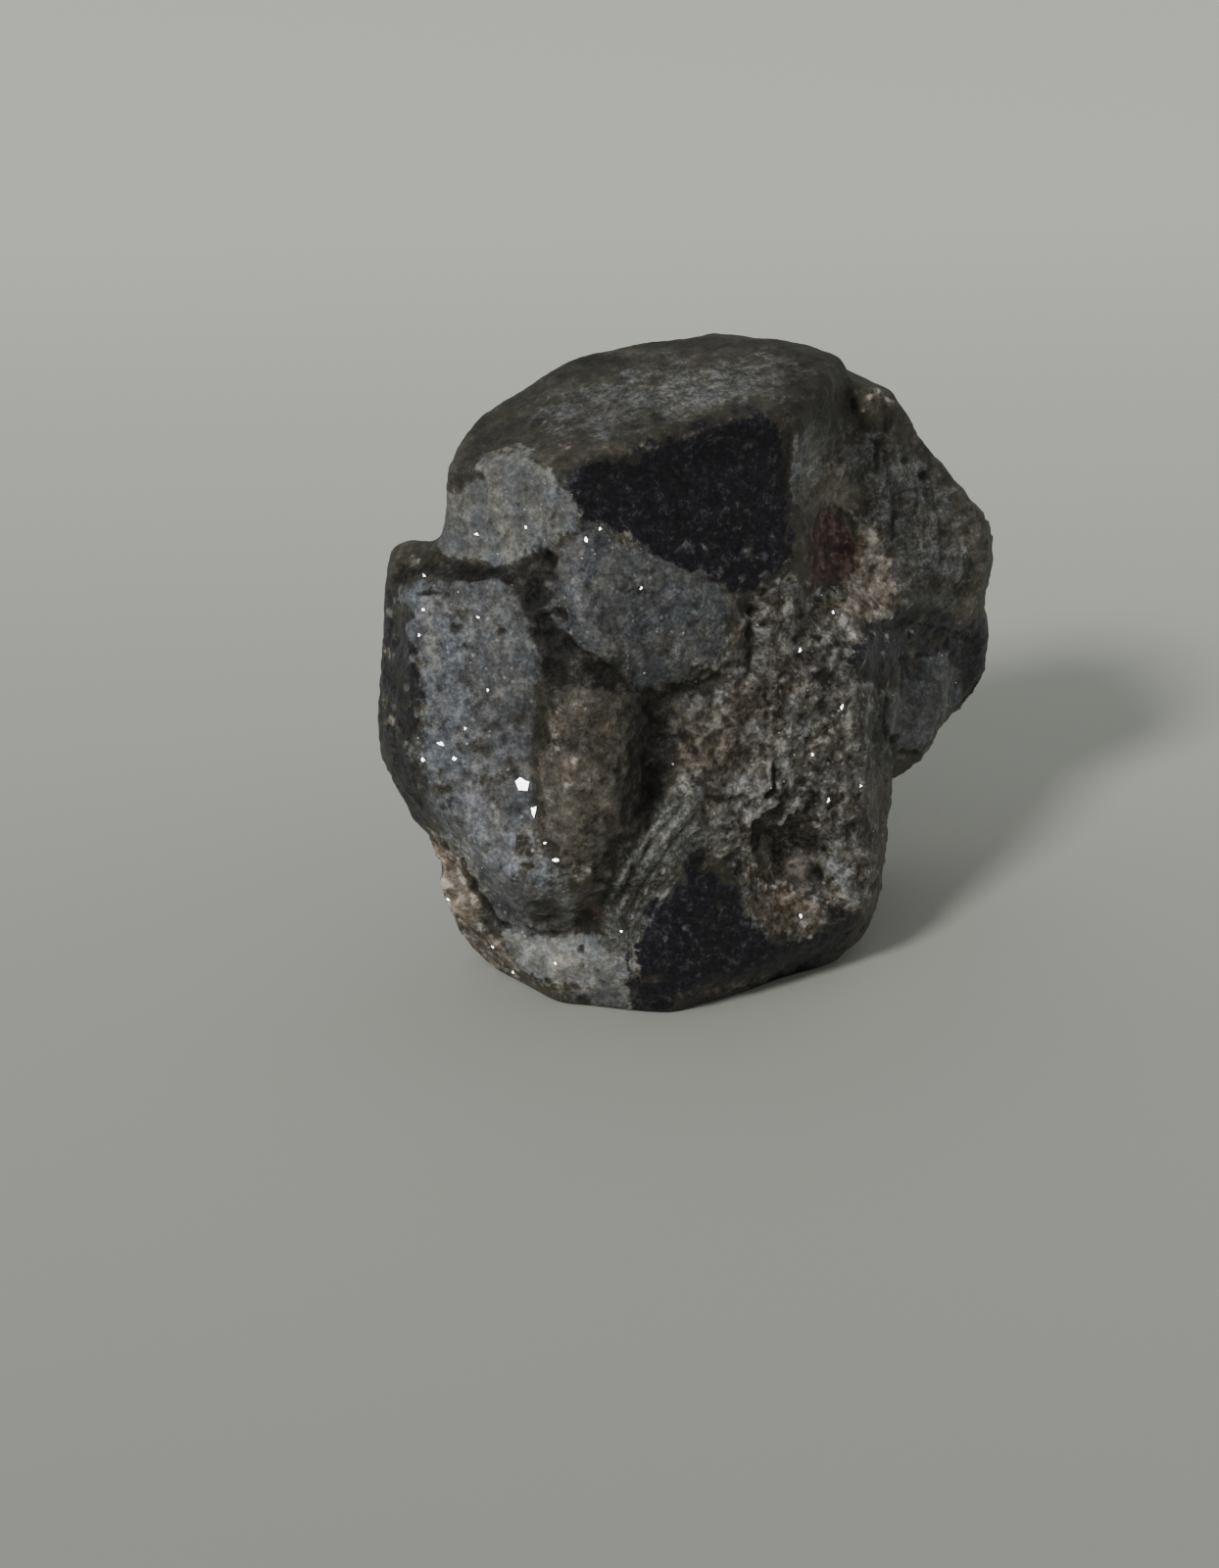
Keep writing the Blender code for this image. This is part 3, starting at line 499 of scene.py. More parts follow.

# Lighter and darker places on that side, partly painted light and painted shade, as in the pit, on the dark
# band, on the lower left and under the head, partly the stone's own lighter and darker colour: a factor on
# the colour, and for each place its middle and its half width and half height in pixels
TONES_AND_PAINTED_LIGHT = {
    "top_right_shade": (0.55, ((835, 400, 34, 60), (600, 367, 60, 6), (700, 351, 80, 6))),
    "scuffs_light": (1.28, ((700, 400, 70, 22),)),
    "facet_light": (1.5, ((822, 470, 16, 45), (850, 480, 22, 35))),
    "arm_edge_light": (1.35, ((985, 570, 22, 70),)),
    "tan_field_light": (1.45, ((890, 590, 30, 50),)),
    "band_light": (2.3, ((930, 655, 60, 22),)),
    "foot_light": (1.6, ((560, 985, 80, 30),)),
    "ledge_light": (1.9, ((465, 900, 22, 40),)),
    "green_light": (1.6, ((568, 920, 22, 24),)),
    "strap_light": (1.2, ((665, 870, 28, 45),)),
    "rust_light": (1.7, ((750, 755, 45, 45),)),
    "edge_low_shade": (0.9, ((900, 840, 16, 70),)),
    "left_edge_shade": (0.9, ((405, 700, 16, 100),)),
    "garnet_light": (1.35, ((848, 555, 26, 40),)),
    "lens_left_light": (1.2, ((590, 615, 20, 26),)),
    "low_face_shade": (0.92, ((740, 970, 90, 50),)),
    "granular_shade": (0.85, ((805, 665, 45, 35),)),
    "pit_light": (2.0, ((795, 868, 34, 40),)),
    "pit_side_light": (1.2, ((816, 884, 20, 26),)),
    "face_shade": (0.72, ((750, 450, 60, 26), (650, 480, 60, 18))),
    "granular_left_light": (1.15, ((705, 830, 40, 40),)),
    "patch_light": (1.1, ((515, 525, 60, 50),)),
    "knob_light": (1.25, ((600, 790, 40, 70),)),
    "block_light": (1.3, ((500, 855, 40, 40), (540, 875, 30, 20))),
    "edge_light": (1.25, ((405, 700, 14, 70),)),
    "block_high_light": (1.12, ((470, 640, 50, 40),)),
    "lower_patch_shade": (0.9, ((440, 540, 16, 40),)),
    # Painted shade under the head, along the roof and under the lens
    "under_head_painted_shade": (0.5, (
        (546, 600, 12, 20), (554, 640, 12, 14), (578, 662, 16, 10), (608, 684, 22, 10), (412, 592, 14, 7),
    )),
}

# Zones of the sides that the photograph doesn't show: what covers the zone, the side, the middle
# across and up on that side, the half sizes and the tilt in degrees
SIDE_ZONES = {
    "back_scar": ("bare", "back", (0.5, 22.0), (6.0, 4.5), -20),
    "back_patch": ("schist", "back", (10.0, 13.0), (4.6, 3.7), 25),
    "back_patch_low": ("pale", "back", (-2.5, 6.0), (4.7, 2.7), -10),
    "back_middle": ("granular", "back", (3.0, 15.5), (6.5, 3.6), 30),
    "back_seam_fill": ("seam", "back", (3.5, 18.0), (8.0, 1.2), 60),
    "back_brown": ("brown", "back", (-10.0, 17.0), (4.0, 5.0), 10),
    "right_patch": ("schist", "right", (1.5, 14.0), (3.5, 4.5), 10),
    "right_tan": ("tan", "right", (-1.0, 21.0), (2.5, 3.0), -20),
    "right_low": ("granular", "right", (2.0, 6.5), (4.0, 3.5), 0),
    "left_patch": ("schist", "left", (1.0, 16.5), (3.5, 4.0), 0),
    "left_dark": ("seam", "left", (-3.0, 12.0), (2.5, 3.0), 30),
    "left_low": ("tan", "left", (1.0, 3.5), (4.0, 2.4), 0),
}

# The directions that each side looks to, and that count as across and as up on it
SIDES = {
    "left": ((-1, 0, 0), (0, -1, 0), (0, 0, 1)),
    "right": ((1, 0, 0), (0, 1, 0), (0, 0, 1)),
    "back": ((0, 1, 0), (-1, 0, 0), (0, 0, 1)),
}

# How much a place faces a side, as a cosine, where that side's zones start and where they are whole,
# and how far they stand proud
SIDE_FACING = (0.1, 0.5)
SIDE_RISE = 0.08

# Small marks that are scattered over the sides that the photograph doesn't show: what each shows,
# their size in millimetres, how rare they are, how fully they cover and how far they stand proud
SCATTERED = {
    "scuffs": ("scuffed", 3.2, 0.15, 0.6, 0.0),
    "greys": ("schist", 2.4, 0.30, 0.6, 0.04),
    "hollows": ("seam", 1.2, 0.42, 0.5, -0.10),
    "whites": ("pale", 0.9, 0.48, 0.6, 0.05),
    "rusts": ("rust", 2.0, 0.38, 0.5, 0.0),
    "tans": ("tan", 1.5, 0.45, 0.5, 0.03),
}

# How softly those marks end, and where their noise starts, each kind's further on than the last's
SCATTER_SOFTNESS = 0.3
SCATTER_START = 31.0
SCATTER_STEP = 7.0

# The forms of the fine relief. Small grains: where they start, their length in millimetres and the
# level that counts as none. Rough and broad swells: length, octaves and start. Wisps: spacing and
# start, and the level that counts as none
SMALL_START = 5.0
SMALL_LENGTH = 0.42
SMALL_LEVEL = 0.4
ROUGH = (0.7, 3, 17.0)
BROAD = (1.9, 2, 27.0)
WISPS = (0.75, 4.0)
WISP_LEVEL = 0.3

# The wisps: how they are drawn out upwards, how far and how densely they wind, how steeply they fall
# off and how deep they end
WISP_DRAW = 0.65
WISP_WINDING = 0.6
WISP_WINDING_DENSITY = 0.6
WISP_STEEPNESS = 3.2
WISP_FLOOR = -0.6

# How high the forms of the relief stand in millimetres: everywhere, and on top of that on each kind of
# surface
RELIEF_EVERYWHERE = {"broad": 0.05, "rough": 0.04}
RELIEF = {
    "scuffed": {"rough": 0.04},
    "bare": {"rough": 0.06, "small": 0.03},
    "schist": {"small": 0.04, "rough": 0.03},
    "frost": {"small": 0.05, "rough": 0.05},
    "pale": {"small": 0.05, "rough": 0.05},
    "granular": {"wisps": 0.08, "small": 0.07, "rough": 0.07},
    "brown": {"rough": 0.10, "small": 0.04, "wisps": 0.05},
    "tan": {"small": 0.10, "rough": 0.08, "wisps": 0.06},
    "rust": {"small": 0.10, "rough": 0.10},
    "seam": {"rough": 0.10, "small": 0.05, "level": -0.05},
    "garnet": {"small": 0.10},
}

# How each kind of surface looks: its colours from dark to light, how much each of the shared
# patterns counts in choosing between them, its roughness, and how high the medium and the fine pattern
# and the domes of the grains stand in millimetres
FINISHES = {
    "worn": {
        "colors": ((0.020, 0.018, 0.013), (0.052, 0.048, 0.038), (0.110, 0.106, 0.092)),
        "mixture": {"coarse": 0.25, "medium": 0.25, "fine": 0.20, "streaks": 0.15, "grit": 0.15},
        "roughness": 0.60,
        "relief": (0.05, 0.04, 0.02),
    },
    "scuffed": {
        "colors": ((0.030, 0.029, 0.024), (0.082, 0.083, 0.079), (0.200, 0.205, 0.205)),
        "mixture": {"medium": 0.20, "fine": 0.30, "streaks": 0.25, "grit": 0.25},
        "roughness": 0.58,
        "relief": (0.05, 0.03, 0.02),
    },
    "bare": {
        "colors": (
            (0.0030, 0.0018, 0.0042), (0.0085, 0.0068, 0.0125), (0.018, 0.016, 0.024), (0.062, 0.059, 0.072),
        ),
        "mixture": {"coarse": 0.10, "medium": 0.25, "fine": 0.40, "grit": 0.25},
        "roughness": 0.50,
        "relief": (0.06, 0.05, 0.02),
    },
    "schist": {
        "colors": ((0.038, 0.039, 0.041), (0.088, 0.091, 0.096), (0.178, 0.185, 0.193)),
        "mixture": {"coarse": 0.15, "medium": 0.35, "fine": 0.30, "grit": 0.20},
        "roughness": 0.58,
        "relief": (0.05, 0.03, 0.02),
    },
    "frost": {
        "colors": ((0.056, 0.059, 0.066), (0.122, 0.129, 0.142), (0.245, 0.257, 0.275)),
        "mixture": {"coarse": 0.10, "medium": 0.40, "fine": 0.30, "grit": 0.20},
        "roughness": 0.55,
        "relief": (0.06, 0.04, 0.03),
    },
    "pale": {
        "colors": ((0.078, 0.080, 0.078), (0.134, 0.137, 0.135), (0.252, 0.258, 0.258)),
        "mixture": {"coarse": 0.15, "medium": 0.35, "fine": 0.30, "grit": 0.20},
        "roughness": 0.55,
        "relief": (0.07, 0.05, 0.04),
    },
    "granular": {
        "colors": (
            (0.012, 0.010, 0.010), (0.052, 0.042, 0.036), (0.094, 0.087, 0.078), (0.155, 0.155, 0.147),
            (0.310, 0.310, 0.302),
        ),
        "mixture": {
            "coarse": 0.10, "medium": 0.30, "fine": 0.20, "grains": 0.15, "wisps": 0.15, "grit": 0.10,
        },
        "roughness": 0.60,
        "relief": (0.08, 0.05, 0.04),
    },
    "brown": {
        "colors": (
            (0.034, 0.029, 0.023), (0.066, 0.058, 0.046), (0.092, 0.084, 0.070), (0.124, 0.114, 0.099),
            (0.180, 0.170, 0.153),
        ),
        "mixture": {"coarse": 0.25, "medium": 0.30, "fine": 0.25, "grit": 0.20},
        "roughness": 0.60,
        "relief": (0.05, 0.03, 0.01),
    },
    "tan": {
        "colors": (
            (0.045, 0.036, 0.027), (0.100, 0.085, 0.063), (0.150, 0.133, 0.107), (0.215, 0.188, 0.163),
            (0.360, 0.335, 0.305),
        ),
        "mixture": {"medium": 0.30, "fine": 0.30, "grains": 0.25, "grit": 0.15},
        "roughness": 0.58,
        "relief": (0.08, 0.05, 0.05),
    },
    "rust": {
        "colors": ((0.022, 0.0175, 0.015), (0.073, 0.063, 0.053), (0.175, 0.159, 0.140)),
        "mixture": {"medium": 0.35, "fine": 0.35, "grains": 0.20, "grit": 0.10},
        "roughness": 0.65,
        "relief": (0.08, 0.05, 0.05),
    },
    "seam": {
        "colors": (
            (0.004, 0.0035, 0.0035), (0.016, 0.0145, 0.013), (0.036, 0.033, 0.028), (0.100, 0.095, 0.087),
        ),
        "mixture": {"coarse": 0.20, "medium": 0.35, "fine": 0.30, "grit": 0.15},
        "roughness": 0.65,
        "relief": (0.06, 0.03, 0.03),
    },
    "garnet": {
        "colors": ((0.008, 0.003, 0.003), (0.040, 0.017, 0.016), (0.125, 0.078, 0.074)),
        "mixture": {"medium": 0.40, "fine": 0.40, "grains": 0.20},
        "roughness": 0.40,
        "relief": (0.06, 0.04, 0.06),
    },
}

# Between which values of its mixture a finish runs from its first colour to its last, and the hues,
# from cool to warm, that tint all of them: the size of their patches and the noise that they run over
COLOR_RANGE = (0.33, 0.69)
HUES = ((0.95, 0.985, 1.06), (1.07, 1.0, 0.91))
HUE_SIZE = 1.3
HUE_RANGE = (0.35, 0.65)

# The shared patterns. Those of plain noise: size in millimetres and detail, and the values that are
# drawn out to zero and one
NOISES = {"coarse": (2.6, 3.0), "medium": (0.75, 4.0), "fine": (0.30, 3.0), "grit": (0.13, 2.0)}
NOISE_RANGE = (0.25, 0.75)

# Streaks: how dense they are each way, and their size, detail and roughness
STREAK_DENSITY = (0.42, 1.0, 1.3)
STREAK_NOISE = (0.6, 4.0, 0.7)

# Grains: their size, how softly they meet, the values that are drawn out to zero and one, and how
# far out from its middle a grain's dome ends
CELL_SIZE = 0.45
CELL_SOFTNESS = 0.6
CELL_RANGE = (0.15, 0.85)
DOME_RADIUS = 0.7

# Thin winding lines in the colour: size, detail and roughness, how far they wind and how wide they are
THREAD_NOISE = (0.7, 2.0, 0.5)
THREAD_WINDING = 1.2
THREAD_WIDTH = 0.2

# How much the patterns shift the border of a finish, and the shares at which it starts and is whole
BORDER_SHIFT = 0.45
BORDER_RANGE = (0.22, 0.72)

# Painted shade in the hollows and painted highlight on the heights, partly also wear: hollows are darker
# than heights, from which height in millimetres to which, and the factors
WEAR_AND_PAINTED_SHADE_HEIGHTS = (-0.25, 0.25)
WEAR_AND_PAINTED_SHADE_FACTORS = (0.5, 1.5)

# How far the roughness goes up and down with the fine pattern, and how strongly the stone reflects
POLISH = 0.08
STONE_SPECULAR = 0.3

# Sparse single grains that show in the schist and the grainy rock: their layers and size, how rare
# they are, where a grain's edge lies, how much rock there has to be, and their colours and strengths
FLECKED_LAYERS = ("schist", "frost", "granular")
FLECK_SIZE = 0.24
FLECK_RARITY = 0.88
FLECK_EDGE = (0.25, 0.5)
FLECK_ROCK = (0.2, 0.8)
FLECK_LIGHT = (0.30, 0.31, 0.305)
FLECK_DARK = (0.010, 0.009, 0.010)
FLECK_LIGHT_STRENGTH = 0.65
FLECK_DARK_STRENGTH = 0.325

# The bright flakes that the photograph shows: the pixel, and the half width and half height in pixels
BRIGHT_FLAKES = (
    (534, 800, 9, 10), (545, 826, 3, 9), (567, 877, 4, 4), (432, 775, 3, 3), (450, 759, 4, 3),
    (464, 774, 3, 3), (598, 551, 3, 3), (612, 540, 2, 2), (654, 600, 2, 2), (487, 545, 3, 2),
    (537, 538, 2, 2), (433, 588, 2, 3), (428, 648, 2, 2), (498, 704, 2, 2), (859, 721, 2, 4),
    (845, 817, 2, 3), (634, 950, 2, 2), (524, 992, 2, 2), (458, 918, 3, 2), (567, 983, 2, 2),
    (488, 630, 2, 2), (817, 935, 2, 3), (432, 622, 2, 2), (503, 966, 2, 2), (816, 664, 2, 3),
    (850, 625, 2, 2), (475, 743, 2, 2), (829, 770, 2, 2), (878, 802, 2, 2), (556, 860, 2, 2),
)

# A flake: how many corners it can have, how far they lie from its middle and how uneven that is, its
# thickness above the stone, and how often that below it
FLAKE_CORNERS = (5, 7)
FLAKE_REACH = 0.8
FLAKE_UNEVENNESS = 0.25
FLAKE_CORNER_STEP = 3.1
FLAKE_THICKNESS = 0.25
FLAKE_DEPTH = 2

# The small flakes all over the stone: where they lie, how many they are, their radii in millimetres
# and how far they lean
FLAKED_LAYERS = ("schist", "pale", "granular")
SMALL_FLAKES = 130
SMALL_FLAKE_RADII = (0.04, 0.08)
SMALL_FLAKE_TILT = 0.5

# Mica: its colours, the size of its shades, how metallic it is, its roughness and the size of that
MICA_COLORS = ((0.62, 0.62, 0.60), (0.90, 0.90, 0.88))
MICA_SHADE_SIZE = 0.3
MICA_SHADE_RANGE = (0.3, 0.7)
MICA_METALLIC = 0.6
MICA_ROUGHNESS = (0.2, 0.45)
MICA_ROUGHNESS_SIZE = 0.1

# Where the key light stands seen from the stone, the distance and its width in metres, and the two
# lights' strengths and colours
LIGHT_AZIMUTH = -61.0
LIGHT_ELEVATION = 36.0
KEY_DISTANCE = 2.0
KEY_SIZE = 0.32
KEY_POWER = 22.0
KEY_COLOR = (1.0, 1.0, 0.97)
ROOM_STRENGTH = 0.35
ROOM_COLOR = (0.98, 1.0, 0.97, 1.0)

# The floor: how far it goes in metres, and its gloss. It lightens from the front to the back, as painted
# light:
# where that starts and ends in millimetres, and its colours
FLOOR_HALF_WIDTH = 3.0
FLOOR_ROUGHNESS = 0.7
FLOOR_SPECULAR = 0.2
FLOOR_PAINTED_LIGHT_REACH = (-60.0, 140.0)
FLOOR_PAINTED_LIGHT_COLORS = (
    (0.455, 0.458, 0.425), (0.525, 0.528, 0.490), (0.635, 0.652, 0.600), (0.760, 0.782, 0.715),
    (0.900, 0.925, 0.840),
)


def points_and_normals(mesh):
    """Where the vertices are, in millimetres, and which way each of them faces."""
    count = len(mesh.vertices)
    points = np.empty(3 * count)
    mesh.vertices.foreach_get("co", points)
    normals = np.empty(3 * count, dtype=np.float32)
    mesh.vertex_normals.foreach_get("vector", normals)
    return points.reshape(count, 3) / MM, normals.reshape(count, 3).astype(float)


def smooth_step(low, high, value):
    """From zero at the low value to one at the high one, level at both."""
    ratio = np.clip((value - low) / (high - low), 0.0, 1.0)
    return ratio * ratio * (3.0 - 2.0 * ratio)


def direction(azimuth, elevation):
    """The way out from the stone at these degrees, where zero is its own front."""
    flat = math.cos(math.radians(elevation))
    turn = math.radians(azimuth)
    return Vector((math.sin(turn) * flat, -math.cos(turn) * flat, math.sin(math.radians(elevation))))


def towards_camera():
    return direction(AZIMUTH, ELEVATION)


def picture_directions():
    """Across and up in the photograph, as directions in the frame."""
    across = Vector((0, 0, 1)).cross(towards_camera()).normalized()
    return across, towards_camera().cross(across)


def picture_places(points):
    """The pixel of the photograph at which each point shows."""
    across, up = picture_directions()
    away = points - np.array(AIM)
    nearness = DISTANCE / (DISTANCE - away @ np.array(towards_camera()))
    right = (away @ np.array(across)) * nearness / PIXEL
    down = -(away @ np.array(up)) * nearness / PIXEL
    return np.stack([PICTURE_MIDDLE[0] + right, PICTURE_MIDDLE[1] + down], axis=1)


def line_distance(spots, start, end):
    """How far each spot lies from a straight line between two points."""
    side = end - start
    share = np.clip((spots - start) @ side / (side @ side), 0.0, 1.0)
    return np.linalg.norm(spots - start - share[:, None] * side, axis=1)


def depth_inside(spots, outline):
    """How far each spot lies inside a closed outline, below zero outside it."""
    corners = np.array(outline, dtype=float)
    nearest = np.full(len(spots), np.inf)
    inside = np.zeros(len(spots), dtype=bool)
    for start, end in zip(corners, np.roll(corners, -1, axis=0)):
        nearest = np.minimum(nearest, line_distance(spots, start, end))
        crosses = (start[1] > spots[:, 1]) != (end[1] > spots[:, 1])
        rise = np.where(crosses, spots[:, 1] - start[1], 0.0)
        reach = start[0] + (end[0] - start[0]) * rise / ((end[1] - start[1]) or 1.0)
        inside ^= crosses & (spots[:, 0] < reach)
    return np.where(inside, nearest, -nearest)


def path_distance(spots, path):
    """How far each spot lies from a path of straight lines."""
    corners = np.array(path, dtype=float)
    return np.min([line_distance(spots, start, end) for start, end in zip(corners, corners[1:])], axis=0)


def ellipse_distance(spots, middle, half_sizes, tilt=0.0):
    """The distance from the middle of an ellipse, where one is the ellipse itself."""
    turn = math.radians(tilt)
    away = spots - np.array(middle)
    along = (away[:, 0] * math.cos(turn) + away[:, 1] * math.sin(turn)) / half_sizes[0]
    aside = (away[:, 1] * math.cos(turn) - away[:, 0] * math.sin(turn)) / half_sizes[1]
    return np.hypot(along, aside)


def along_grain(points):
    """The points as the patterns see them: drawn together along the grain."""
    grain = np.array(GRAIN)
    return points - (1.0 - GRAIN_DENSITY) * (points @ grain)[:, None] * grain


def swells(points, length, octaves, start):
    """Uneven noise about zero, with swells of this length and finer ones on them."""
    shift = Vector((start, start * 0.7, -start))
    return np.array([noise.fractal(Vector(p) / length + shift, 1.0, 2.0, octaves) for p in points])


def cells(points, length):
    """For each point, how deep it lies inside its own grain: zero on a border, towards one inside."""
    depth = np.empty(len(points))
    for index, point in enumerate(points):
        distances = noise.voronoi(Vector(point) / length)[0]
        depth[index] = distances[1] - distances[0]
    return np.clip(depth, 0.0, 1.0)


def crests(points, length, start):
    """Thin winding crests of this spacing: one on a crest, and less the further from one."""
    height = np.empty(len(points))
    shift = Vector((start, -start, 0.4 * start))
    for index, point in enumerate(points):
        place = Vector((point[0], point[1], WISP_DRAW * point[2])) / length + shift
        place += WISP_WINDING * noise.noise_vector(WISP_WINDING_DENSITY * place)
        height[index] = 1.0 - WISP_STEEPNESS * abs(noise.noise(place))
    return np.clip(height, WISP_FLOOR, 1.0)


class Cover:
    """Which share of each layer lies at each point, and how far the marks raise the point."""

    def __init__(self, points, normals):
        self.points = points
        self.normals = normals
        self.shares = np.zeros((len(LAYERS), len(points)))
        self.rise = np.zeros(len(points))
        # The tone: a factor on the colour, partly painted light and painted shade
        self.tone = np.ones(len(points))
        self.seen = smooth_step(*SEEN_FACING, normals @ np.array(towards_camera()))
        self.spots = picture_places(points)
        self.grained = along_grain(points)
        self.noises = [swells(self.grained, *kind) for kind in (RAGGED, WANDERING, JAGGED)]

    def uneven(self, amounts, where=slice(None)):
        """How far the three kinds of noise shift a border at each point."""
        return sum(amount * values[where] for amount, values in zip(amounts, self.noises))

    def faded(self, kind, distance, where=slice(None)):
        """How fully a mark of this kind covers each point at this distance from its middle."""
        amounts, fade = EDGES[kind]
        return 1.0 - smooth_step(*fade, distance + self.uneven(amounts, where))

    def lay(self, layer, share, rise, where=slice(None)):
        """Cover the points with this much more of a layer, at the cost of the others."""
        self.shares[:, where] *= 1.0 - share
        self.shares[LAYERS.index(layer), where] += share
        self.rise[where] += rise * share

    def near(self, middle, reach):
        """Which points the photograph shows within this reach of a pixel."""
        away = np.abs(self.spots - np.array(middle))
        return np.nonzero((away[:, 0] < reach[0]) & (away[:, 1] < reach[1]) & (self.seen > 0))[0]

    def lay_sides(self):
        hidden = 1.0 - self.seen
        for layer, side, middle, half_sizes, tilt in SIDE_ZONES.values():
            outward, across, up = (np.array(way, dtype=float) for way in SIDES[side])
            layout = np.stack([self.points @ across, self.points @ up], axis=1)
            distance = ellipse_distance(layout, middle, half_sizes, tilt)
            faces = smooth_step(*SIDE_FACING, self.normals @ outward)
            self.lay(layer, self.faded("side", distance) * faces * hidden, SIDE_RISE)
        for index, (layer, size, rarity, strength, rise) in enumerate(SCATTERED.values()):
            patches = swells(self.grained, size, 3, SCATTER_START + SCATTER_STEP * index)
            share = strength * smooth_step(rarity, rarity + SCATTER_SOFTNESS, patches) * hidden
            self.lay(layer, share, rise)

    def lay_zones(self):
        for layer, raggedness, softness, rise, outline in ZONES.values():
            depth = depth_inside(self.spots, outline) + raggedness * self.uneven(ZONE_EDGE)
            self.lay(layer, smooth_step(-softness, softness, depth) * self.seen, rise)

    def lay_marks(self):
        for layer, strength, rise, places in SPOTS.values():
            for x, y, half_width, half_height in places:
                where = self.near((x, y), (SPOT_REACH * half_width, SPOT_REACH * half_height))
                distance = ellipse_distance(self.spots[where], (x, y), (half_width, half_height))
                share = self.faded("spot", distance, where) * self.seen[where]
                self.lay(layer, strength * share, rise, where)
        for layer, half_width, strength, rise, path in STROKES.values():
            low, high = np.min(path, axis=0), np.max(path, axis=0)
            where = self.near((low + high) / 2, (high - low) / 2 + STROKE_REACH * half_width)
            distance = path_distance(self.spots[where], path) / half_width
            share = self.faded("stroke", distance, where) * self.seen[where]
            self.lay(layer, strength * share, rise, where)

    # Lighter and darker colour, partly painted light and painted shade, partly the stone's own
    def set_tones_and_painted_light(self):
        for factor, places in TONES_AND_PAINTED_LIGHT.values():
            for x, y, half_width, half_height in places:
                distance = ellipse_distance(self.spots, (x, y), (half_width, half_height))
                self.tone *= 1.0 + (factor - 1.0) * self.faded("tone", distance) * self.seen


def covered(points, normals):
    cover = Cover(points, normals)
    cover.lay_sides()
    cover.lay_zones()
    cover.lay_marks()
    cover.set_tones_and_painted_light()
    return cover


def relief_forms(points):
    """The forms that the relief is made of, each about one high."""
    return {
        "small": cells(points + SMALL_START, SMALL_LENGTH) - SMALL_LEVEL,
        "rough": swells(points, *ROUGH),
        "broad": swells(points, *BROAD),
        "wisps": crests(points, *WISPS) - WISP_LEVEL,
        "level": np.ones(len(points)),
    }


def stacked(forms, amounts):
    return sum(amount * forms[name] for name, amount in amounts.items())


def fine_relief(cover):
    """How far each point moves along its own direction."""
    forms = relief_forms(cover.grained)
    height = cover.rise + stacked(forms, RELIEF_EVERYWHERE)
    for layer, amounts in RELIEF.items():
        height += cover.shares[LAYERS.index(layer)] * stacked(forms, amounts)
    return height


def link(name, mesh):
    obj = bpy.data.objects.new(name, mesh)
    bpy.context.scene.collection.objects.link(obj)
    return obj


def evaluated_mesh(obj):
    bpy.context.view_layer.update()
    evaluated = obj.evaluated_get(bpy.context.evaluated_depsgraph_get())
    return bpy.data.meshes.new_from_object(evaluated)


def grown_skin(node):
    """A closed skin of small even cells over the stone, with its facets smoothed away."""
    draft = link("draft", node.data.copy())
    weld = draft.modifiers.new("weld", "WELD")
    weld.merge_threshold = WELD * MM
    grow = draft.modifiers.new("grow", "REMESH")
    grow.mode = "VOXEL"
    grow.voxel_size = CELL * MM
    smooth = draft.modifiers.new("smooth", "SMOOTH")
    smooth.factor = SMOOTHING_FACTOR
    smooth.iterations = SMOOTHINGS
    mesh = evaluated_mesh(draft)
    bpy.data.objects.remove(draft)
    return mesh


def store(mesh, name, values):
    """Keep a value for each vertex, for the materials to read."""
    layer = mesh.attributes.new(name, "FLOAT", "POINT")
    layer.data.foreach_set("value", values.astype(np.float32))


def thinned(mesh):
    """The same skin with fewer triangles where it is smooth."""
    draft = link("draft", mesh)
    triangles = sum(len(face.vertices) - 2 for face in mesh.polygons)
    fewer = draft.modifiers.new("fewer", "DECIMATE")
    fewer.ratio = SKIN_TRIANGLES / triangles
    fewer.use_collapse_triangulate = True
    result = evaluated_mesh(draft)
    bpy.data.objects.remove(draft)
    return result


def stone_skin(node):
    """The finer skin over the stone, with its relief and what covers each place."""
    mesh = grown_skin(node)
    points, normals = points_and_normals(mesh)
    cover = covered(points, normals)
    height = fine_relief(cover)
    fade = smooth_step(0.0, FLOOR_FADE, points[:, 2])
    points += (height * fade)[:, None] * normals
    points[:, 2] = np.maximum(points[:, 2], 0.0)
    mesh.vertices.foreach_set("co", (points * MM).ravel())
    for name, share in zip(LAYERS, cover.shares):
        store(mesh, name, share)
    store(mesh, "height", height)
    # The tone carries painted light and painted shade as well as the stone's own lighter and darker places
    store(mesh, "tone", cover.tone)
    mesh.update()
    skin = thinned(mesh)
    skin.shade_smooth()
    return link("stone_skin", skin)


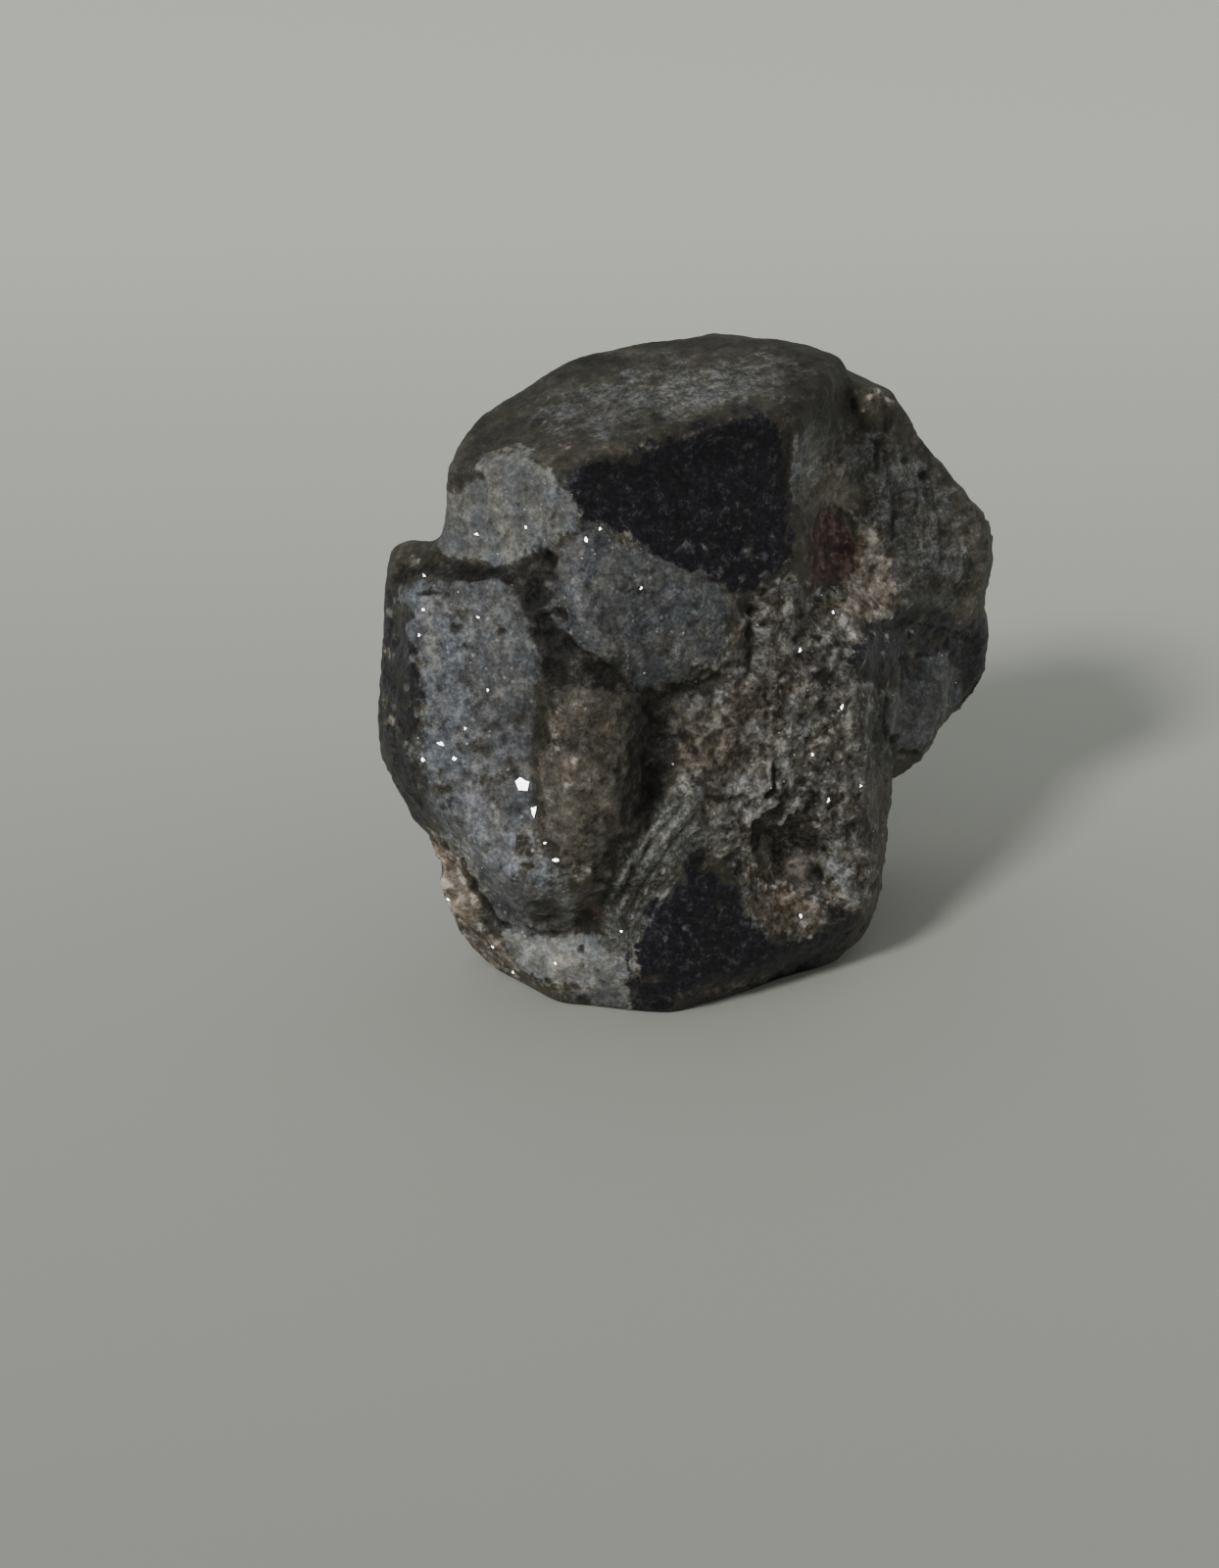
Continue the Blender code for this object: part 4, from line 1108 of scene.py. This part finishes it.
class Nodes:
    """Short names for the shader nodes that the materials are made of."""

    def __init__(self, name):
        self.material = bpy.data.materials.new(name)
        self.material.use_nodes = True
        self.tree = self.material.node_tree
        self.shader = self.tree.nodes["Principled BSDF"]
        mapping = self.add("ShaderNodeMapping", {"Scale": (1 / MM,) * 3})
        self.wire(self.add("ShaderNodeTexCoord").outputs["Object"], mapping.inputs["Vector"])
        self.place = mapping.outputs["Vector"]

    def follow_grain(self):
        """Draw all the patterns that come after this together along the grain."""
        depth = self.vector("DOT_PRODUCT", self.place, GRAIN).outputs["Value"]
        shift = self.vector("SCALE", GRAIN * (GRAIN_DENSITY - 1.0))
        self.put(depth, shift.inputs["Scale"])
        self.place = self.vector("ADD", self.place, shift.outputs["Vector"]).outputs["Vector"]

    def add(self, kind, inputs=None, **settings):
        node = self.tree.nodes.new(kind)
        for name, value in settings.items():
            setattr(node, name, value)
        for name, value in (inputs or {}).items():
            self.put(value, node.inputs[name])
        return node

    def put(self, value, socket):
        if isinstance(value, bpy.types.NodeSocket):
            self.wire(value, socket)
        else:
            socket.default_value = value

    def wire(self, output, socket):
        self.tree.links.new(output, socket)

    def noise(self, size, detail=3.0, roughness=0.6, place=None, distortion=0.0):
        """Plain noise, or, with a distortion, noise that winds."""
        inputs = {
            "Vector": place or self.place, "Scale": 1 / size, "Detail": detail,
            "Roughness": roughness, "Distortion": distortion,
        }
        return self.add("ShaderNodeTexNoise", inputs).outputs["Fac"]

    def cells(self, size, feature="F1", **inputs):
        values = {"Vector": self.place, "Scale": 1 / size, **inputs}
        return self.add("ShaderNodeTexVoronoi", values, feature=feature)

    def vector(self, operation, first, second=(0.0, 0.0, 0.0)):
        node = self.add("ShaderNodeVectorMath", operation=operation)
        self.put(first, node.inputs[0])
        self.put(second, node.inputs[1])
        return node

    def math(self, operation, first, second=0.0):
        node = self.add("ShaderNodeMath", operation=operation)
        self.put(first, node.inputs[0])
        self.put(second, node.inputs[1])
        return node.outputs[0]

    def stretch(self, value, low, high, to_low=0.0, to_high=1.0, smooth=False):
        """What lies between the low and the high value, drawn out to between two others."""
        inputs = {"Value": value, "From Min": low, "From Max": high, "To Min": to_low, "To Max": to_high}
        kind = "SMOOTHSTEP" if smooth else "LINEAR"
        return self.add("ShaderNodeMapRange", inputs, interpolation_type=kind).outputs["Result"]

    def mix(self, share, first, second, blend="MIX"):
        """Two colours mixed: the node's inputs 6 and 7 and output 2 are those for colours."""
        node = self.add("ShaderNodeMix", data_type="RGBA", blend_type=blend)
        self.put(share, node.inputs[0])
        self.put(first, node.inputs[6])
        self.put(second, node.inputs[7])
        return node.outputs[2]

    def blend(self, share, first, second):
        """Two numbers mixed: the node's inputs 2 and 3 and output 0 are those for numbers."""
        node = self.add("ShaderNodeMix", data_type="FLOAT")
        self.put(share, node.inputs[0])
        self.put(first, node.inputs[2])
        self.put(second, node.inputs[3])
        return node.outputs[0]

    def ramp(self, value, low, high, colors):
        """These colours one after the other, evenly spaced between two values."""
        node = self.add("ShaderNodeValToRGB", {"Fac": value})
        elements = node.color_ramp.elements
        elements[1].position = high
        elements[1].color = (*colors[-1], 1.0)
        elements[0].position = low
        elements[0].color = (*colors[0], 1.0)
        for index, color in enumerate(colors[1:-1], 1):
            position = low + (high - low) * index / (len(colors) - 1)
            elements.new(position).color = (*color, 1.0)
        return node.outputs["Color"]

    def grey(self, value):
        node = self.add("ShaderNodeCombineColor", {"Red": value, "Green": value, "Blue": value})
        return node.outputs["Color"]

    def red(self, color):
        return self.add("ShaderNodeSeparateColor", {"Color": color}).outputs["Red"]

    def attribute(self, name):
        return self.add("ShaderNodeAttribute", attribute_name=name).outputs["Fac"]


def patterns(nodes):
    """The patterns that all the finishes share, each from zero to one."""
    lengthwise = nodes.add("ShaderNodeMapping", {"Vector": nodes.place, "Scale": STREAK_DENSITY})
    grains = nodes.cells(CELL_SIZE, "SMOOTH_F1", Smoothness=CELL_SOFTNESS)
    winding = nodes.math("SUBTRACT", nodes.noise(*THREAD_NOISE, None, THREAD_WINDING), 0.5)
    noises = {name: nodes.noise(*size_and_detail) for name, size_and_detail in NOISES.items()}
    noises["streaks"] = nodes.noise(*STREAK_NOISE, lengthwise.outputs["Vector"])
    return {
        **{name: nodes.stretch(value, *NOISE_RANGE) for name, value in noises.items()},
        "grains": nodes.stretch(nodes.red(grains.outputs["Color"]), *CELL_RANGE),
        "wisps": nodes.stretch(nodes.math("ABSOLUTE", winding), 0.0, THREAD_WIDTH, 1.0, 0.0),
        "domes": nodes.stretch(grains.outputs["Distance"], 0.0, DOME_RADIUS, 1.0, 0.0),
    }


def total(nodes, values):
    """The sum of a list of values."""
    value = values[0]
    for another in values[1:]:
        value = nodes.math("ADD", value, another)
    return value


def weighted(nodes, fields, mixture):
    return total(nodes, [nodes.math("MULTIPLY", fields[name], share) for name, share in mixture.items()])


def flecked(nodes, color):
    """The colour with sparse light and dark single grains in the schist and the grainy rock."""
    dots = nodes.cells(FLECK_SIZE)
    tone = nodes.red(dots.outputs["Color"])
    round_dot = nodes.stretch(dots.outputs["Distance"], *FLECK_EDGE, 1.0, 0.0, smooth=True)
    rock = total(nodes, [nodes.attribute(name) for name in FLECKED_LAYERS])
    place = nodes.math("MULTIPLY", round_dot, nodes.stretch(rock, *FLECK_ROCK))
    light = nodes.stretch(tone, FLECK_RARITY, 1.0, 0.0, FLECK_LIGHT_STRENGTH)
    dark = nodes.stretch(tone, 1.0 - FLECK_RARITY, 0.0, 0.0, FLECK_DARK_STRENGTH)
    color = nodes.mix(nodes.math("MULTIPLY", place, light), color, (*FLECK_LIGHT, 1.0))
    return nodes.mix(nodes.math("MULTIPLY", place, dark), color, (*FLECK_DARK, 1.0))


def stone_material():
    """The worn crystal's finish, with each other layer's finish laid over it by its share."""
    nodes = Nodes("stone_skin")
    nodes.follow_grain()
    fields = patterns(nodes)
    border = nodes.math("SUBTRACT", nodes.math("ADD", fields["medium"], fields["fine"]), 1.0)
    color, relief, roughness = None, None, None
    for name, finish in FINISHES.items():
        value = weighted(nodes, fields, finish["mixture"])
        shade = nodes.ramp(value, *COLOR_RANGE, finish["colors"])
        if color is None:
            color, relief, roughness = shade, (*finish["relief"], 1.0), finish["roughness"]
            continue
        shift = nodes.math("MULTIPLY", border, BORDER_SHIFT)
        edge = nodes.math("ADD", nodes.attribute(name), shift)
        share = nodes.stretch(edge, *BORDER_RANGE, smooth=True)
        color = nodes.mix(share, color, shade)
        relief = nodes.mix(share, relief, (*finish["relief"], 1.0))
        roughness = nodes.blend(share, roughness, finish["roughness"])
    color = flecked(nodes, color)
    warm = nodes.ramp(nodes.noise(HUE_SIZE), *HUE_RANGE, HUES)
    color = nodes.mix(1.0, color, warm, "MULTIPLY")
    # Painted shade and painted highlight, partly wear: darker in the hollows and lighter on the heights
    wear_and_painted_shade = nodes.stretch(nodes.attribute("height"), *WEAR_AND_PAINTED_SHADE_HEIGHTS, *WEAR_AND_PAINTED_SHADE_FACTORS)
    # The tone's painted light and painted shade multiply the colour too
    wear_and_painted_shade = nodes.math("MULTIPLY", wear_and_painted_shade, nodes.attribute("tone"))
    color = nodes.mix(1.0, color, nodes.grey(wear_and_painted_shade), "MULTIPLY")
    nodes.wire(color, nodes.shader.inputs["Base Color"])
    polish = nodes.stretch(fields["fine"], 0.0, 1.0, -POLISH, POLISH)
    nodes.wire(nodes.math("ADD", roughness, polish), nodes.shader.inputs["Roughness"])
    heights = {"X": fields["medium"], "Y": fields["fine"], "Z": fields["domes"]}
    heights = nodes.add("ShaderNodeCombineXYZ", heights).outputs["Vector"]
    dot = nodes.vector("DOT_PRODUCT", heights, relief)
    bump = nodes.add("ShaderNodeBump", {"Strength": 1.0, "Distance": MM, "Height": dot.outputs["Value"]})
    nodes.wire(bump.outputs["Normal"], nodes.shader.inputs["Normal"])
    nodes.shader.inputs["Specular IOR Level"].default_value = STONE_SPECULAR
    return nodes.material


def mica_material():
    nodes = Nodes("mica")
    tint = nodes.ramp(nodes.noise(MICA_SHADE_SIZE), *MICA_SHADE_RANGE, MICA_COLORS)
    nodes.wire(tint, nodes.shader.inputs["Base Color"])
    nodes.shader.inputs["Metallic"].default_value = MICA_METALLIC
    roughness = nodes.stretch(nodes.noise(MICA_ROUGHNESS_SIZE), 0.0, 1.0, *MICA_ROUGHNESS)
    nodes.wire(roughness, nodes.shader.inputs["Roughness"])
    return nodes.material


def add_flake(flakes, spot, outward, half_sizes, rng):
    """A thin many-sided plate that lies at the spot with its broad side outward."""
    corners = rng.randint(*FLAKE_CORNERS)
    turn = rng.uniform(0.0, math.tau)
    across = Vector((0, 0, 1)).cross(outward).normalized()
    along = outward.cross(across)
    thickness = FLAKE_THICKNESS * min(half_sizes)
    rings = []
    for level in (-FLAKE_DEPTH * thickness, thickness):
        ring = []
        for index in range(corners):
            angle = turn + math.tau * index / corners
            reach = FLAKE_REACH + FLAKE_UNEVENNESS * math.sin(FLAKE_CORNER_STEP * index + turn)
            side = half_sizes[0] * math.cos(angle) * across + half_sizes[1] * math.sin(angle) * along
            ring.append(flakes.verts.new(spot + reach * side + level * outward))
        rings.append(ring)
    flakes.faces.new(rings[1])
    flakes.faces.new(rings[0][::-1])
    for index in range(corners):
        after = (index + 1) % corners
        flakes.faces.new((rings[0][index], rings[0][after], rings[1][after], rings[1][index]))


def add_bright_flakes(flakes, skin, rng):
    """The flakes that shine in the photograph, each turned to mirror the key light to the camera."""
    tree = BVHTree.FromPolygons(
        [vert.co for vert in skin.data.vertices], [face.vertices for face in skin.data.polygons]
    )
    across, up = picture_directions()
    eye = (AIM + DISTANCE * towards_camera()) * MM
    glint = (towards_camera() + direction(LIGHT_AZIMUTH, LIGHT_ELEVATION)).normalized()
    for x, y, half_width, half_height in BRIGHT_FLAKES:
        right = (x - PICTURE_MIDDLE[0]) * PIXEL
        down = (y - PICTURE_MIDDLE[1]) * PIXEL
        ray = ((AIM + across * right - up * down) * MM - eye).normalized()
        spot = tree.ray_cast(eye, ray)[0]
        half_sizes = (half_width * PIXEL * MM, half_height * PIXEL * MM)
        add_flake(flakes, spot, glint, half_sizes, rng)


def add_small_flakes(flakes, skin, rng):
    """Small flakes at random in the schist on all sides, nearly flush with the stone."""
    mesh = skin.data
    rock = np.zeros(len(mesh.vertices))
    for name in FLAKED_LAYERS:
        share = np.empty(len(mesh.vertices), dtype=np.float32)
        mesh.attributes[name].data.foreach_get("value", share)
        rock += share
    places = rng.choices(range(len(rock)), weights=rock.tolist(), k=SMALL_FLAKES)
    for place in places:
        vert = mesh.vertices[place]
        lean = Vector([rng.uniform(-SMALL_FLAKE_TILT, SMALL_FLAKE_TILT) for _ in range(3)])
        radius = rng.uniform(*SMALL_FLAKE_RADII) * MM
        add_flake(flakes, vert.co, (vert.normal + lean).normalized(), (radius, radius), rng)


def mica_flakes(skin):
    rng = random.Random(SEED)
    flakes = bmesh.new()
    add_bright_flakes(flakes, skin, rng)
    add_small_flakes(flakes, skin, rng)
    mesh = bpy.data.meshes.new("mica_flakes")
    flakes.to_mesh(mesh)
    flakes.free()
    return link("mica_flakes", mesh)


def floor_material():
    nodes = Nodes("pale_floor")
    # Painted light: the floor grows lighter from the front to the back
    ahead = nodes.vector("DOT_PRODUCT", nodes.place, -direction(AZIMUTH, 0.0)).outputs["Value"]
    far = nodes.stretch(ahead, *FLOOR_PAINTED_LIGHT_REACH)
    tint = nodes.ramp(far, 0.0, 1.0, FLOOR_PAINTED_LIGHT_COLORS)
    nodes.wire(tint, nodes.shader.inputs["Base Color"])
    nodes.shader.inputs["Roughness"].default_value = FLOOR_ROUGHNESS
    nodes.shader.inputs["Specular IOR Level"].default_value = FLOOR_SPECULAR
    return nodes.material


def make_floor():
    mesh = bpy.data.meshes.new("floor")
    reach = FLOOR_HALF_WIDTH
    corners = [(-reach, -reach, 0), (reach, -reach, 0), (reach, reach, 0), (-reach, reach, 0)]
    mesh.from_pydata(corners, [], [(0, 1, 2, 3)])
    mesh.materials.append(floor_material())
    return link("floor", mesh)


def make_key_light():
    lamp = bpy.data.lights.new("key", "AREA")
    lamp.shape = "DISK"
    lamp.size = KEY_SIZE
    lamp.energy = KEY_POWER
    lamp.color = KEY_COLOR
    obj = link("key", lamp)
    away = direction(LIGHT_AZIMUTH, LIGHT_ELEVATION)
    obj.location = away * KEY_DISTANCE
    obj.rotation_euler = away.to_track_quat("Z", "Y").to_euler()


def make_room_light():
    world = bpy.data.worlds.new("soft_room")
    world.use_nodes = True
    background = world.node_tree.nodes["Background"]
    background.inputs["Color"].default_value = ROOM_COLOR
    background.inputs["Strength"].default_value = ROOM_STRENGTH
    bpy.context.scene.world = world


def make_camera():
    """The photograph's camera."""
    camera = bpy.data.cameras.new("photo_camera")
    camera.sensor_fit = "VERTICAL"
    camera.sensor_height = SENSOR
    camera.sensor_width = SENSOR
    half_height = PICTURE_MIDDLE[1] * PIXEL
    camera.lens = SENSOR / 2 * DISTANCE / half_height
    obj = link("photo_camera", camera)
    obj.location = (AIM + DISTANCE * towards_camera()) * MM
    obj.rotation_mode = "QUATERNION"
    obj.rotation_quaternion = towards_camera().to_track_quat("Z", "Y")
    bpy.context.scene.camera = obj


def main():
    noise.seed_set(SEED)
    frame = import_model()
    skin = stone_skin(frame["nodes"][NODE])
    skin.data.materials.clear()
    skin.data.materials.append(stone_material())
    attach(skin, "root")
    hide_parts(NODE)
    flakes = mica_flakes(skin)
    flakes.data.materials.append(mica_material())
    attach(flakes, "root")
    make_floor()
    make_key_light()
    make_room_light()
    make_camera()


main()
